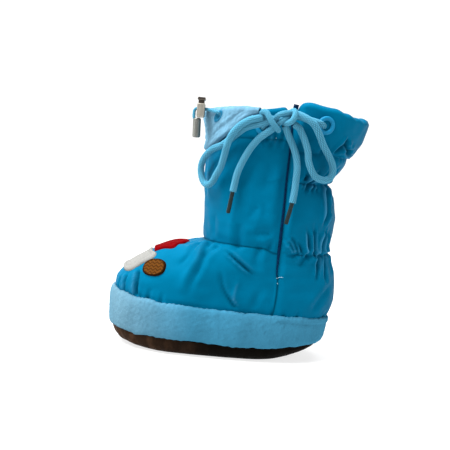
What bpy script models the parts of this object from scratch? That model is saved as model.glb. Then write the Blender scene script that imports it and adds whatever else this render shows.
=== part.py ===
"""Padded winter bootie for the left foot of a small child.

Millimetres are used throughout and turned to metres when a mesh is made. The toe points along -X,
the zip side along -Y, and the floor is z = 0 under the middle of the sole.
"""

from collections import namedtuple
from math import cos, pi, radians, sin

import bmesh
import bpy
import numpy as np
from mathutils import Matrix, Vector

MM = 0.001

# Driving sizes
LENGTH = 128.0
BALL_WIDTH = 59.0
INSTEP_HEIGHT = 65.2
COLLAR_HEIGHT = 140.0
SEAM_X = 30.2
TOE_IN = 2.5
WALL = 3.0
GAP = 0.35

SOLE_LIP = 1.9
SOLE_SEAT = 0.55
SOLE_BED = 8.0
SOLE_RUN_SIDE = 9.0
SOLE_RUN_TOE = 8.0
SOLE_RUN_HEEL = 24.0
SOLE_RUN_QUARTER = 17.0
TOE_SPRING = 3.2
TOE_SPRING_FROM = -24.0
TOE_SPRING_RUN = 38.0
HEEL_SPRING = 4.6
HEEL_SPRING_FROM = 18.0
HEEL_SPRING_RUN = 39.0

BAND_LOW = 9.0
BAND_THICK = 2.5

CUFF_THICK = 2.3
CUFF_HALF = 0.175
CUFF_INSIDE = 8.0
CUFF_SEAT = 1.3

ZIP_LOW = 50.0
ZIP_HALF_WIDTH = 1.6
ZIP_THICK = 1.0

EYELET_RING = 3.9
EYELET_BEAD = 1.15

CORD = 3.9
TIP = 2.3
THIN_CORD = 2.0

LOCK_X = -20.6
LOCK_Y = -16.0
LOCK_LOW = 134.3
LOCK_TOP = 142.1
LOCK_DEPTH = 4.4
LOCK_WIDTH = 9.0
LOCK_WALL = 0.4
LOCK_SLACK = 0.15
LOCK_TRAVEL = 1.5
LOCK_CORD_Z = 139.1
PLUNGER_TOP = 145.4
PLUNGER_CAP = 1.65
SLEEVE = 4.6
SLEEVE_LOW = 122.9
SLEEVE_TOP = 133.9

# Sections of the last: height, reach of toe and heel, widest place, width and roundness.
# In FOOT the rise is a share of the instep height, in SHAFT a share of the way up from there.
Section = namedtuple("Section", "rise toe heel widest width toe_round heel_round")
FOOT = (
    Section(0.135, 0.473, 0.449, -0.156, 0.95, 2.3, 2.6),
    Section(0.210, 0.483, 0.469, -0.156, 0.975, 2.3, 2.6),
    Section(0.300, 0.486, 0.476, -0.150, 0.99, 2.3, 2.6),
    Section(0.405, 0.487, 0.484, -0.140, 0.995, 2.3, 2.6),
    Section(0.495, 0.486, 0.498, -0.125, 1.0, 2.3, 2.6),
    Section(0.580, 0.480, 0.505, -0.100, 1.0, 2.3, 2.6),
    Section(0.655, 0.452, 0.506, -0.075, 1.0, 2.25, 2.5),
    Section(0.720, 0.412, 0.504, -0.040, 1.0, 2.2, 2.5),
    Section(0.780, 0.368, 0.499, 0.000, 1.0, 2.2, 2.4),
    Section(0.840, 0.322, 0.490, 0.040, 1.0, 2.15, 2.4),
    Section(0.900, 0.266, 0.478, 0.086, 0.99, 2.1, 2.3),
    Section(0.947, 0.203, 0.469, 0.133, 0.975, 2.1, 2.3),
    Section(0.977, 0.136, 0.455, 0.160, 0.97, 2.1, 2.3),
    Section(1.000, 0.098, 0.451, 0.180, 0.965, 2.1, 2.3),
)
SHAFT = (
    Section(0.075, 0.097, 0.457, 0.184, 1.0, 2.1, 2.2),
    Section(0.240, 0.099, 0.462, 0.184, 1.05, 2.1, 2.2),
    Section(0.400, 0.105, 0.449, 0.176, 1.05, 2.1, 2.2),
    Section(0.505, 0.110, 0.420, 0.168, 1.035, 2.1, 2.2),
    Section(0.620, 0.109, 0.462, 0.180, 1.07, 2.1, 2.2),
    Section(0.730, 0.104, 0.505, 0.195, 1.10, 2.1, 2.2),
    Section(0.865, 0.102, 0.548, 0.211, 1.135, 2.1, 2.2),
    Section(1.000, 0.102, 0.570, 0.223, 1.155, 2.1, 2.2),
)

# Padded panels: heights of the seams below and above, rise of the padding between them.
Panel = namedtuple("Panel", "low high rise fullness")
FRONT_PANELS = (
    Panel(30.0, 65.2, 1.2, 0.5),
    Panel(65.2, 125.0, 1.3, 0.4),
    Panel(125.0, 155.0, 1.6, 0.4),
)
BACK_PANELS = (
    Panel(25.5, 63.5, 2.2, 0.5),
    Panel(63.5, 103.5, 3.6, 0.6),
    Panel(103.5, 120.0, 3.4, 0.6),
    Panel(120.0, 158.0, 3.8, 0.2),
)
# Lifts of the collar: place round the boot, height and spread
Lift = namedtuple("Lift", "place lift spread")
COLLAR_LIFTS = (
    Lift(0.79, 5.0, 0.07),
    Lift(0.83, 1.9, 0.08),
    Lift(0.75, -7.0, 0.012),
    Lift(0.50, -2.4, 0.1),
    Lift(0.25, 2.0, 0.1),
)
UPPER_OUTSIDE = (
    9.0, 15.0, 21.0, 27.0, 32.0, 36.0, 40.0, 43.5, 47.0, 50.5, 54.0, 57.0, 60.0, 62.0, 63.6, 65.2,
    68.0, 75.0, 83.0, 92.0, 99.0, 102.0, 103.5, 105.0, 109.0, 114.0, 118.0, 120.0, 121.0, 123.0,
    128.0, 134.0, 138.5,
)
UPPER_INSIDE = (
    140.0, 132.0, 124.0, 116.0, 108.0, 103.5, 98.0, 88.0, 78.0, 70.0, 65.5, 62.0, 57.0, 51.0, 45.0,
    38.5, 30.0, 21.0, 14.0, 9.0,
)
# Rounded edge of the insole: height on the sole and inset from the wall
INSOLE_EDGE = ((9.0, 1.6), (9.8, 0.6), (11.2, 0.6), (12.0, 1.6))
# Stations of one side between heel 0, side seam 0.5 and toe 1
SIDE_STATIONS = (
    0.0, 0.06, 0.12, 0.18, 0.24, 0.30, 0.36, 0.42, 0.465, 0.485, 0.5, 0.515, 0.535, 0.58, 0.63, 0.68,
    0.73, 0.78, 0.83, 0.88, 0.92, 0.96, 1.0,
)


# Bow on the zip side: strands of the knot, then cords in the order they leave it
KNOT_STRANDS = (
    ((12.4, -38.2, 139.8), (12.6, -42.2, 139.7), (15.0, -44.6, 137.6), (18.0, -44.9, 134.8),
     (21.0, -43.8, 132.2), (22.6, -40.6, 130.9), (22.4, -37.8, 131.6)),
    ((19.0, -40.0, 134.6), (22.0, -41.6, 136.0), (25.4, -42.4, 138.2), (28.6, -42.2, 140.4),
     (30.9, -40.9, 139.9), (30.8, -40.0, 137.0), (28.4, -40.0, 134.4), (25.0, -39.4, 134.4)),
    ((13.2, -39.6, 136.6), (17.0, -39.6, 136.2), (22.0, -39.2, 135.2), (27.0, -39.2, 136.2),
     (30.5, -39.4, 138.2)),
    ((15.4, -39.6, 134.8), (14.6, -37.4, 132.4), (14.7, -35.6, 131.8), (14.95, -34.0, 131.85)),
    ((11.8, -38.6, 132.9), (15.0, -39.2, 134.0), (18.5, -39.4, 134.8)),
)
BOW_CORDS = {
    "bow_loop_front": (
        (10.2, -39.7, 135.5), (6.8, -39.4, 134.4), (2.5, -38.2, 131.5), (-1.7, -36.8, 126.5),
        (-4.0, -34.6, 120.1), (-5.1, -31.2, 113.9), (-6.4, -28.6, 108.1), (-8.4, -26.2, 103.6),
        (-10.3, -24.0, 99.3), (-12.8, -20.5, 97.1), (-15.5, -16.8, 98.6), (-17.3, -15.2, 103.1),
        (-17.5, -15.6, 108.2), (-15.4, -18.4, 113.5), (-11.6, -22.6, 117.5), (-6.8, -27.0, 120.0),
        (-2.3, -30.4, 123.9), (4.1, -34.9, 129.7), (8.0, -37.2, 131.6), (10.8, -38.2, 132.4),
    ),
    "bow_loop_back": (
        (34.2, -42.6, 138.8), (37.4, -43.2, 137.4), (40.7, -43.0, 135.1), (43.8, -41.6, 130.8),
        (47.1, -38.6, 125.0), (51.3, -34.6, 119.3), (53.8, -32.2, 115.3), (54.8, -31.0, 111.2),
        (53.6, -31.0, 107.5), (50.0, -33.0, 106.2), (45.2, -36.0, 107.6), (42.1, -37.6, 111.5),
        (40.2, -38.2, 116.1), (39.3, -38.8, 120.9), (36.8, -39.4, 126.8), (34.2, -39.8, 131.4),
        (33.2, -39.9, 132.8),
    ),
    "bow_end_front": (
        (17.7, -39.2, 129.6), (14.6, -38.0, 127.0), (12.2, -36.8, 124.6), (8.6, -35.2, 119.3),
        (5.2, -33.9, 112.1), (3.0, -32.7, 105.6), (2.1, -32.1, 99.9), (1.5, -31.8, 95.3),
    ),
    "bow_end_back": (
        (26.7, -39.1, 131.3), (28.6, -37.8, 127.6), (31.3, -36.9, 122.8), (33.5, -37.0, 117.6),
        (34.7, -37.2, 111.5), (34.8, -36.4, 104.5), (34.6, -36.4, 98.3), (34.1, -36.6, 92.4),
    ),
    "bow_run_back": (
        (33.8, -37.9, 138.6), (36.6, -37.9, 137.9), (39.4, -37.9, 137.2), (42.8, -37.8, 136.5),
    ),
}
BOW_TIPS = {
    "bow_tip_front": ((1.4, -31.7, 94.9), (0.0, -30.4, 83.2)),
    "bow_tip_back": ((33.9, -36.6, 92.0), (31.8, -36.2, 80.6)),
}
# Thin cord of the lock: from the cuff's buttonhole, clear of the fleece, through the barrel and down
LOCK_ROUTE = (
    (-10.6, -23.5, 137.5), (-12.9, -21.9, 138.2), (-15.3, -19.4, 138.8), (-17.2, -17.2, 139.1),
    (-18.8, -16.0, 139.1), (-20.6, -16.0, 139.1), (-22.8, -16.0, 139.1), (-23.8, -16.0, 138.6),
    (-24.3, -16.0, 137.5), (-24.3, -16.0, 136.2), (-24.3, -16.0, 135.2), (-24.2, -16.0, 134.3),
)
SLEEVE_ROUTE = ((-22.4, LOCK_Y, SLEEVE_TOP), (-21.9, LOCK_Y, SLEEVE_LOW))

# Motif of the toe
PATCH_GAP = 0.75
PATCH_THICK = 0.8
MITTEN_LONG = 13.0
MITTEN_WIDE = 12.0
MITTEN_WRIST = 0.6
THUMB_LONG = 4.0
THUMB_ANGLE = 285.0


def pchip(at, knots, values):
    """Smooth curve through knots and values that never overshoots them."""
    knots = np.asarray(knots, float)
    values = np.asarray(values, float)
    step = np.diff(knots)
    slope = np.diff(values) / step
    tangent = np.zeros_like(values)
    same = slope[:-1] * slope[1:] > 0
    weight_a = 2 * step[1:] + step[:-1]
    weight_b = step[1:] + 2 * step[:-1]
    safe_a = np.where(same, slope[:-1], 1.0)
    safe_b = np.where(same, slope[1:], 1.0)
    middle = (weight_a + weight_b) / (weight_a / safe_a + weight_b / safe_b)
    tangent[1:-1] = np.where(same, middle, 0.0)
    tangent[0] = slope[0]
    tangent[-1] = slope[-1]
    at = np.clip(np.asarray(at, float), knots[0], knots[-1])
    cell = np.clip(np.searchsorted(knots, at, side="right") - 1, 0, len(step) - 1)
    t = (at - knots[cell]) / step[cell]
    h = step[cell]
    return (
        values[cell] * (1 + 2 * t) * (1 - t) ** 2
        + tangent[cell] * h * t * (1 - t) ** 2
        + values[cell + 1] * t * t * (3 - 2 * t)
        + tangent[cell + 1] * h * t * t * (t - 1)
    )


def ease(low, high, value):
    """0 below low, 1 above high, smooth between."""
    t = np.clip((value - low) / (high - low), 0.0, 1.0)
    return t * t * (3 - 2 * t)


def bell(value, width):
    """Bell curve: 1 at zero, falling away over a width."""
    return np.exp(-((value / width) ** 2))


SECTION_HEIGHTS = [row.rise * INSTEP_HEIGHT for row in FOOT] + [
    INSTEP_HEIGHT + row.rise * (COLLAR_HEIGHT - INSTEP_HEIGHT) for row in SHAFT
]


def section_column(name, height):
    return pchip(height, SECTION_HEIGHTS, [getattr(row, name) for row in FOOT + SHAFT])


def lining_form(height, round_share):
    """Last of the boot at a height and a share round it: 0 heel, 0.25 far seam, 0.5 toe, 0.75 zip.

    Each ring is two half super-ellipses that meet at the widest place. Shares run evenly along the
    ring's own length between heel, side seam and toe. Heights and shares broadcast to one grid.
    """
    height, share = np.broadcast_arrays(np.asarray(height, float), np.asarray(round_share, float))
    shape = height.shape
    height = height.ravel()
    share = np.mod(share.ravel(), 1.0)
    levels, level_of = np.unique(height, return_inverse=True)
    toe = -LENGTH * section_column("toe", levels)
    heel = LENGTH * section_column("heel", levels)
    widest = LENGTH * section_column("widest", levels)
    wide = 0.5 * BALL_WIDTH * section_column("width", levels)
    toe_power = 2.0 / section_column("toe_round", levels)
    heel_power = 2.0 / section_column("heel_round", levels)
    angle = np.linspace(0.0, pi, 241)
    c = np.cos(angle)
    s = np.sin(angle)
    near_side = share > 0.5
    half = half_share(share)
    x = np.zeros_like(height)
    y = np.zeros_like(height)
    for i in range(len(levels)):
        power = np.where(c < 0, toe_power[i], heel_power[i])
        reach = np.where(c < 0, widest[i] - toe[i], heel[i] - widest[i])
        ring_x = widest[i] + reach * np.sign(c) * np.abs(c) ** power
        ring_y = wide[i] * s**power
        run = np.concatenate([[0.0], np.cumsum(np.hypot(np.diff(ring_x), np.diff(ring_y)))])
        seam = np.interp(-SEAM_X, -ring_x, run)
        here = level_of == i
        want = np.interp(half[here], (0.0, 0.5, 1.0), (0.0, seam, run[-1]))
        x[here] = np.interp(want, run, ring_x)
        y[here] = np.interp(want, run, ring_y)
    y = np.where(near_side, -y, y)
    y = y + TOE_IN * np.clip((-x - 10.0) / 52.0, 0.0, 1.0) ** 2
    return np.stack([x, y, height], axis=-1).reshape(shape + (3,))


def form_normal(height, round_share):
    """Outward unit normal of the last."""
    height = np.clip(np.asarray(height, float), SECTION_HEIGHTS[0], SECTION_HEIGHTS[-1])
    along = lining_form(height, round_share + 0.003) - lining_form(height, round_share - 0.003)
    low = np.maximum(height - 0.4, SECTION_HEIGHTS[0])
    high = np.minimum(height + 0.4, SECTION_HEIGHTS[-1])
    up = lining_form(high, round_share) - lining_form(low, round_share)
    normal = np.cross(along, up)
    return normal / np.linalg.norm(normal, axis=-1, keepdims=True)


def half_share(round_share):
    """0 at the heel, 0.5 at a side seam and 1 at the toe, alike on both sides."""
    share = np.mod(np.asarray(round_share, float), 1.0)
    return np.where(share > 0.5, 2.0 * (1.0 - share), 2.0 * share)


def seam_distance(round_share):
    """Share of half the ring between a place and the side seam of its side."""
    return np.abs(half_share(round_share) - 0.5)


def band_top(round_share):
    """Height of the foot band's upper edge: highest over the toe."""
    return pchip(half_share(round_share), (0.0, 0.35, 0.6, 0.85, 1.0), (26.0, 27.6, 28.4, 30.6, 33.4))


def band_low(round_share):
    """Height of the foot band's lower edge: raised at toe and heel, lowest beside the arch."""
    return pchip(
        half_share(round_share),
        (0.0, 0.2, 0.36, 0.55, 0.72, 0.86, 1.0),
        (11.4, 10.7, 9.3, 8.0, 9.0, 9.5, 11.0),
    )


def spring(x):
    """Rise of the sole's underside towards toe and heel."""
    toe = np.clip((TOE_SPRING_FROM - x) / TOE_SPRING_RUN, 0.0, 1.0)
    heel = np.clip((x - HEEL_SPRING_FROM) / HEEL_SPRING_RUN, 0.0, 1.0)
    return TOE_SPRING * toe**2 + HEEL_SPRING * heel**2


def padding(height, round_share):
    """Thickness of the padding over the last: full between seams, none on a seam."""
    height, share = np.broadcast_arrays(np.asarray(height, float), np.asarray(round_share, float))
    share = np.mod(share, 1.0)
    front = (share > 0.25) & (share < 0.75)
    rise = np.zeros(height.shape)
    drop = band_top(share) - 27.5
    for panels, here in ((FRONT_PANELS, front), (BACK_PANELS, ~front)):
        for number, panel in enumerate(panels):
            low = panel.low + (drop - 1.5 if number == 0 else 0.0)
            v = np.clip((height - low) / (panel.high - low), 0.0, 1.0)
            rise += here * panel.rise * (4.0 * v * (1.0 - v)) ** panel.fullness
    return rise * ease(0.014, 0.06, seam_distance(share))


def collar_move(height, round_share):
    """The collar stands higher behind the zip, is drawn in there by the bow, and dips at zip and front."""
    share = np.mod(np.asarray(round_share, float), 1.0)
    top = np.clip((np.asarray(height, float) - 118.0) / 22.0, 0.0, 1.0)
    lift = sum(move.lift * bell(share - move.place, move.spread) for move in COLLAR_LIFTS)
    inward = 3.5 * bell(share - 0.75, 0.05)
    return lift * top, inward * top


def upper_point(height, round_share, out):
    """Point at a distance out from the last; the collar's own moves are included."""
    height, share = np.broadcast_arrays(np.asarray(height, float), np.asarray(round_share, float))
    lift, inward = collar_move(height, share)
    point = lining_form(height, share)
    normal = form_normal(height, share)
    point = point + normal * (np.broadcast_to(out, height.shape) - inward)[..., None]
    point[..., 2] += lift
    return point


def ring_shares():
    """Shares of all columns once round the boot."""
    far = [0.5 * s for s in SIDE_STATIONS]
    near = [1.0 - 0.5 * s for s in SIDE_STATIONS[-2:0:-1]]
    return np.array(far + near)


def collection(name):
    group = bpy.data.collections.new(name)
    bpy.context.scene.collection.children.link(group)
    return group


def material(name, colour, roughness, metallic=0.0):
    made = bpy.data.materials.new(name)
    made.use_nodes = True
    shader = made.node_tree.nodes["Principled BSDF"]
    shader.inputs["Base Color"].default_value = (*colour, 1.0)
    shader.inputs["Roughness"].default_value = roughness
    shader.inputs["Metallic"].default_value = metallic
    made.diffuse_color = (*colour, 1.0)
    return made


def loft(name, loops, look, ends="hub"):
    """Closed solid through equal closed loops.

    The ends are fans round a hub, a strip between the two sides of a bent loop, or joined in a ring.
    """
    loops = np.asarray(loops, float) * MM
    count, around, _ = loops.shape
    mesh = bmesh.new()
    verts = [[mesh.verts.new(p) for p in loop] for loop in loops]
    for i in range(count if ends == "ring" else count - 1):
        here = verts[i]
        there = verts[(i + 1) % count]
        for j in range(around):
            k = (j + 1) % around
            mesh.faces.new((here[j], here[k], there[k], there[j]))
    if ends == "hub":
        for loop in (verts[0], verts[-1]):
            hub = mesh.verts.new(sum((v.co for v in loop), Vector()) / around)
            for j in range(around):
                mesh.faces.new((loop[j], loop[(j + 1) % around], hub))
    if ends == "strip":
        for loop in (verts[0], verts[-1]):
            for j in range(around // 2 - 1):
                mesh.faces.new((loop[j], loop[j + 1], loop[around - 2 - j], loop[around - 1 - j]))
    bmesh.ops.recalc_face_normals(mesh, faces=mesh.faces)
    data = bpy.data.meshes.new(name)
    mesh.to_mesh(data)
    mesh.free()
    made = bpy.data.objects.new(name, data)
    made.data.materials.append(look)
    PARTS.objects.link(made)
    return made


def build_outsole():
    """Flat-bottomed sole whose edge is a quarter ellipse, raised under toe and heel."""
    shares = ring_shares()
    top = upper_point(BAND_LOW, shares, SOLE_LIP)
    inner = form_normal(BAND_LOW, shares)
    inner[:, 2] = 0.0
    inner /= np.linalg.norm(inner, axis=1, keepdims=True)
    edge = band_low(shares) - SOLE_SEAT
    run = pchip(
        half_share(shares),
        (0.0, 0.25, 0.5, 0.7, 1.0),
        (SOLE_RUN_HEEL, SOLE_RUN_QUARTER, SOLE_RUN_SIDE, SOLE_RUN_SIDE, SOLE_RUN_TOE),
    )
    bed = top - inner * SOLE_BED
    bed[:, 2] = edge - 0.3
    loops = [bed]
    for turn in (0.0, 15.0, 30.0, 45.0, 60.0, 75.0, 90.0):
        loop = top - inner * (run * (1.0 - cos(radians(turn))))[:, None]
        loop[:, 2] = edge - (edge - spring(loop[:, 0])) * sin(radians(turn))
        loops.append(loop)
    for inset in (0.55, 0.2):
        loop = loops[7] * inset
        loop[:, 2] = spring(loop[:, 0])
        loops.append(loop)
    return loft("outsole", loops, BROWN)


def build_insole():
    """Pad on the sole, inside the upper's wall."""
    shares = ring_shares()
    loops = []
    for height, inset in INSOLE_EDGE:
        loop = upper_point(max(height, BAND_LOW), shares, -(WALL + GAP + inset))
        loop[:, 2] = height + 0.05 + 0.85 * (band_low(shares) - BAND_LOW)
        loops.append(loop)
    return loft("insole", loops, FLEECE)


def build_upper():
    """Hollow padded shell: outside with its padding, rolled rim, lining side, open below."""
    shares = ring_shares()
    outside = np.array(UPPER_OUTSIDE)[:, None]
    inside = np.array(UPPER_INSIDE)[:, None]
    outer = upper_point(outside, shares, padding(outside, shares))
    rim = upper_point(COLLAR_HEIGHT, shares, 0.55 * padding(COLLAR_HEIGHT, shares))
    rim[:, 2] += 0.6
    inner = upper_point(inside, shares, -WALL)
    low = np.maximum(band_low(shares), SECTION_HEIGHTS[0])
    outer[0] = upper_point(low, shares, 0.0)
    inner[-1] = upper_point(low, shares, -WALL)
    outer[0][:, 2] = band_low(shares)
    inner[-1][:, 2] = band_low(shares)
    return loft("upper", np.concatenate([outer, rim[None], inner]), NYLON, "ring")


def build_band():
    """Velour band carried round the foot at a small gap from the upper."""
    shares = ring_shares()
    low = band_low(shares) + 0.1
    top = band_top(shares)
    loops = []
    section = (
        (0.0, 0.0), (0.25, 0.0), (0.5, 0.0), (0.75, 0.0), (1.0, 0.0),
        (1.0, 0.45), (0.96, 0.8), (0.82, 1.0), (0.5, 1.05), (0.2, 1.0), (0.06, 0.8), (0.0, 0.5),
    )
    for rise, out in section:
        height = low + (top - low) * rise
        loop = upper_point(height, shares, padding(height, shares) + GAP + 0.4 + BAND_THICK * out)
        loop[:, 2] = height
        loops.append(loop)
    return loft("foot_band", loops, VELOUR, "ring")


def cuff_low(round_share):
    """Height of the turned-out cuff's free edge: lowest at the front, at the rim at its two ends."""
    away = np.abs(np.mod(round_share, 1.0) - 0.5)
    return pchip(
        away,
        (0.0, 0.05, 0.075, 0.12, 0.162, CUFF_HALF),
        (116.0, 117.4, 120.6, 128.4, 136.8, 138.5),
    )


def build_cuff():
    """Front of the collar turned outwards: over the rim and down to a slanting free edge."""
    stations = np.linspace(0.5 - CUFF_HALF, 0.5 + CUFF_HALF, 21)
    loops = []
    for share in stations:
        end = float(ease(0.0, 0.03, CUFF_HALF - abs(share - 0.5)))
        thick = CUFF_THICK * (0.35 + 0.65 * end)
        outside = np.linspace(float(cuff_low(share)), COLLAR_HEIGHT, 6)
        face = np.maximum(padding(outside, share), CUFF_SEAT) + GAP + 0.2
        back_leg = upper_point(outside, share, face)
        fullness = np.array([0.7, 1.0, 1.0, 1.0, 1.0, 0.95])
        front_leg = upper_point(outside, share, face + thick * fullness)
        top_in = float(padding(COLLAR_HEIGHT, share))
        reach = np.linspace(top_in + 0.6 * thick, -0.8 * WALL, 4)
        over = upper_point(np.full(4, COLLAR_HEIGHT), share, reach)
        over[:, 2] += np.array([1.5, 2.1, 2.2, 1.7]) - 0.6 * (1.0 - end)
        deep = np.linspace(COLLAR_HEIGHT, COLLAR_HEIGHT - CUFF_INSIDE, 3)
        in_leg = upper_point(deep, share, -(WALL + GAP + 0.7 + 1.3 * thick / CUFF_THICK))
        in_face = upper_point(deep[::-1], share, -(WALL + GAP + 0.3))
        under = upper_point(np.full(4, COLLAR_HEIGHT), share, np.linspace(-0.6 * WALL, 0.8 * top_in, 4))
        under[:, 2] += 0.6 + GAP + 0.3
        loops.append(np.concatenate([front_leg, over, in_leg, in_face, under, back_leg[::-1]]))
    return loft("fleece_cuff", loops, FLEECE, "strip")


def build_zip():
    """Closed zip tape along the side seam; its top end stands loose above the dip of the collar."""
    heights = np.array([ZIP_LOW, 58.0, 66.0, 76.0, 88.0, 100.0, 110.0, 120.0, 128.0, 134.0, 138.5])
    middle = upper_point(heights, 0.75, GAP + 0.4 + 0.5 * ZIP_THICK)
    side = upper_point(heights, 0.7503, 0.0) - upper_point(heights, 0.7497, 0.0)
    side /= np.linalg.norm(side, axis=1, keepdims=True)
    tab = np.array([[0.4, -0.6, 4.0], [1.2, -1.0, 9.2]]) + middle[-1]
    middle = np.concatenate([middle, tab])
    side = np.concatenate([side, side[-1:], side[-1:]])
    width = np.full(len(middle), ZIP_HALF_WIDTH)
    width[-2:] = 0.85 * ZIP_HALF_WIDTH
    rise = np.gradient(middle, axis=0)
    out = np.cross(side, rise)
    out *= (0.5 * ZIP_THICK) / np.linalg.norm(out, axis=1, keepdims=True)
    side = side * width[:, None]
    corners = (middle - side - out, middle + side - out, middle + side + out, middle - side + out)
    return loft("side_zip", np.stack(corners, axis=1), NAVY)


def surface_frame(height, round_share, out):
    """Matrix that stands on the upper: Z along its normal, X forward along the ring."""
    place = upper_point(height, round_share, padding(height, round_share) + out)
    step = 0.006
    along = upper_point(height, round_share + step, 0.0) - upper_point(height, round_share - step, 0.0)
    normal = Vector(form_normal(height, round_share)).normalized()
    along = Vector(along)
    along = (along - along.dot(normal) * normal).normalized()
    across = normal.cross(along)
    frame = Matrix((along, across, normal)).transposed().to_4x4()
    frame.translation = Vector(place) * MM
    return frame


def link(made, name, look, group=None):
    made.name = name
    made.data.name = name
    for old in list(made.users_collection):
        old.objects.unlink(made)
    (group or PARTS).objects.link(made)
    made.data.materials.clear()
    made.data.materials.append(look)
    return made


def build_eyelet(name, height, round_share):
    """Plastic ring that lies on the collar casing."""
    bpy.ops.mesh.primitive_torus_add(
        major_segments=22,
        minor_segments=8,
        major_radius=EYELET_RING * MM,
        minor_radius=EYELET_BEAD * MM,
    )
    ring = link(bpy.context.object, name, SKY)
    flat = Matrix.Diagonal((1.0, 1.0, 0.75, 1.0))
    ring.data.transform(surface_frame(height, round_share, GAP + 0.75 * EYELET_BEAD + 0.25) @ flat)
    return ring


def smooth_route(route, spacing):
    """Points at even spacing on a smooth curve through a route's own points."""
    route = np.asarray(route, float)
    ends = np.concatenate([[2 * route[0] - route[1]], route, [2 * route[-1] - route[-2]]])
    t = np.linspace(0.0, 1.0, 24, endpoint=False)[:, None]
    spans = []
    for a, b, c, d in zip(ends[:-3], ends[1:-2], ends[2:-1], ends[3:]):
        spans.append(
            b
            + 0.5 * t * (c - a)
            + t * t * (a - 2.5 * b + 2.0 * c - 0.5 * d)
            + t * t * t * (-0.5 * a + 1.5 * b - 1.5 * c + 0.5 * d)
        )
    curve = np.concatenate(spans + [route[-1:]])
    run = np.concatenate([[0.0], np.cumsum(np.linalg.norm(np.diff(curve, axis=0), axis=1))])
    count = max(2, int(round(run[-1] / spacing)) + 1)
    want = np.linspace(0.0, run[-1], count)
    return np.stack([np.interp(want, run, curve[:, k]) for k in range(3)], axis=1)


def tube(name, route, thick, look, spacing, group=None):
    """Round cord along a route, with filled ends."""
    points = smooth_route(route, spacing)
    data = bpy.data.curves.new(name, "CURVE")
    data.dimensions = "3D"
    data.bevel_depth = 0.5 * thick * MM
    data.bevel_resolution = 2
    data.use_fill_caps = True
    spline = data.splines.new("POLY")
    spline.points.add(len(points) - 1)
    for point, place in zip(spline.points, points):
        point.co = (*(place * MM), 1.0)
    made = bpy.data.objects.new(name, data)
    (group or PARTS).objects.link(made)
    data.materials.append(look)
    return made


def as_mesh(made):
    """The object's finished mesh as an object of its own, with doubled points joined."""
    name = made.name
    look = made.data.materials[0]
    bpy.context.view_layer.update()
    graph = bpy.context.evaluated_depsgraph_get()
    data = bpy.data.meshes.new_from_object(made.evaluated_get(graph))
    data.transform(made.matrix_world)
    group = made.users_collection[0]
    bpy.data.objects.remove(made, do_unlink=True)
    mesh = bmesh.new()
    mesh.from_mesh(data)
    bmesh.ops.remove_doubles(mesh, verts=mesh.verts, dist=0.00001)
    bmesh.ops.recalc_face_normals(mesh, faces=mesh.faces)
    mesh.to_mesh(data)
    mesh.free()
    fresh = bpy.data.objects.new(name, data)
    data.materials.clear()
    data.materials.append(look)
    group.objects.link(fresh)
    return fresh


def boolean(made, other, how):
    """Adds or cuts another solid, which is kept as a cutter."""
    other.hide_render = True
    other.display_type = "WIRE"
    change = made.modifiers.new(how.lower(), "BOOLEAN")
    change.operation = how
    change.solver = "EXACT"
    change.object = other


def build_bow():
    """Knot of joined strands; loops, ends and the run to the eyelet stop just short of it."""
    knot = as_mesh(tube("bow_knot", KNOT_STRANDS[0], CORD, SKY, 4.0))
    for number, route in enumerate(KNOT_STRANDS[1:]):
        boolean(knot, as_mesh(tube(f"knot_strand_{number}", route, CORD, SKY, 4.0, CUTTERS)), "UNION")
    as_mesh(knot)
    for name, route in BOW_CORDS.items():
        as_mesh(tube(name, route, CORD, SKY, 6.5))
    for name, route in BOW_TIPS.items():
        as_mesh(tube(name, route, TIP, GREY, 12.0))


def box(name, size, centre, look, group=None):
    bpy.ops.mesh.primitive_cube_add(size=1.0)
    made = link(bpy.context.object, name, look, group)
    scale = Matrix.Diagonal((*(v * MM for v in size), 1.0))
    made.data.transform(Matrix.Translation(Vector(centre) * MM) @ scale)
    return made


def rounded(made, radius, segments=2):
    change = made.modifiers.new("edge", "BEVEL")
    change.width = radius * MM
    change.segments = segments
    change.limit_method = "ANGLE"


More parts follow.
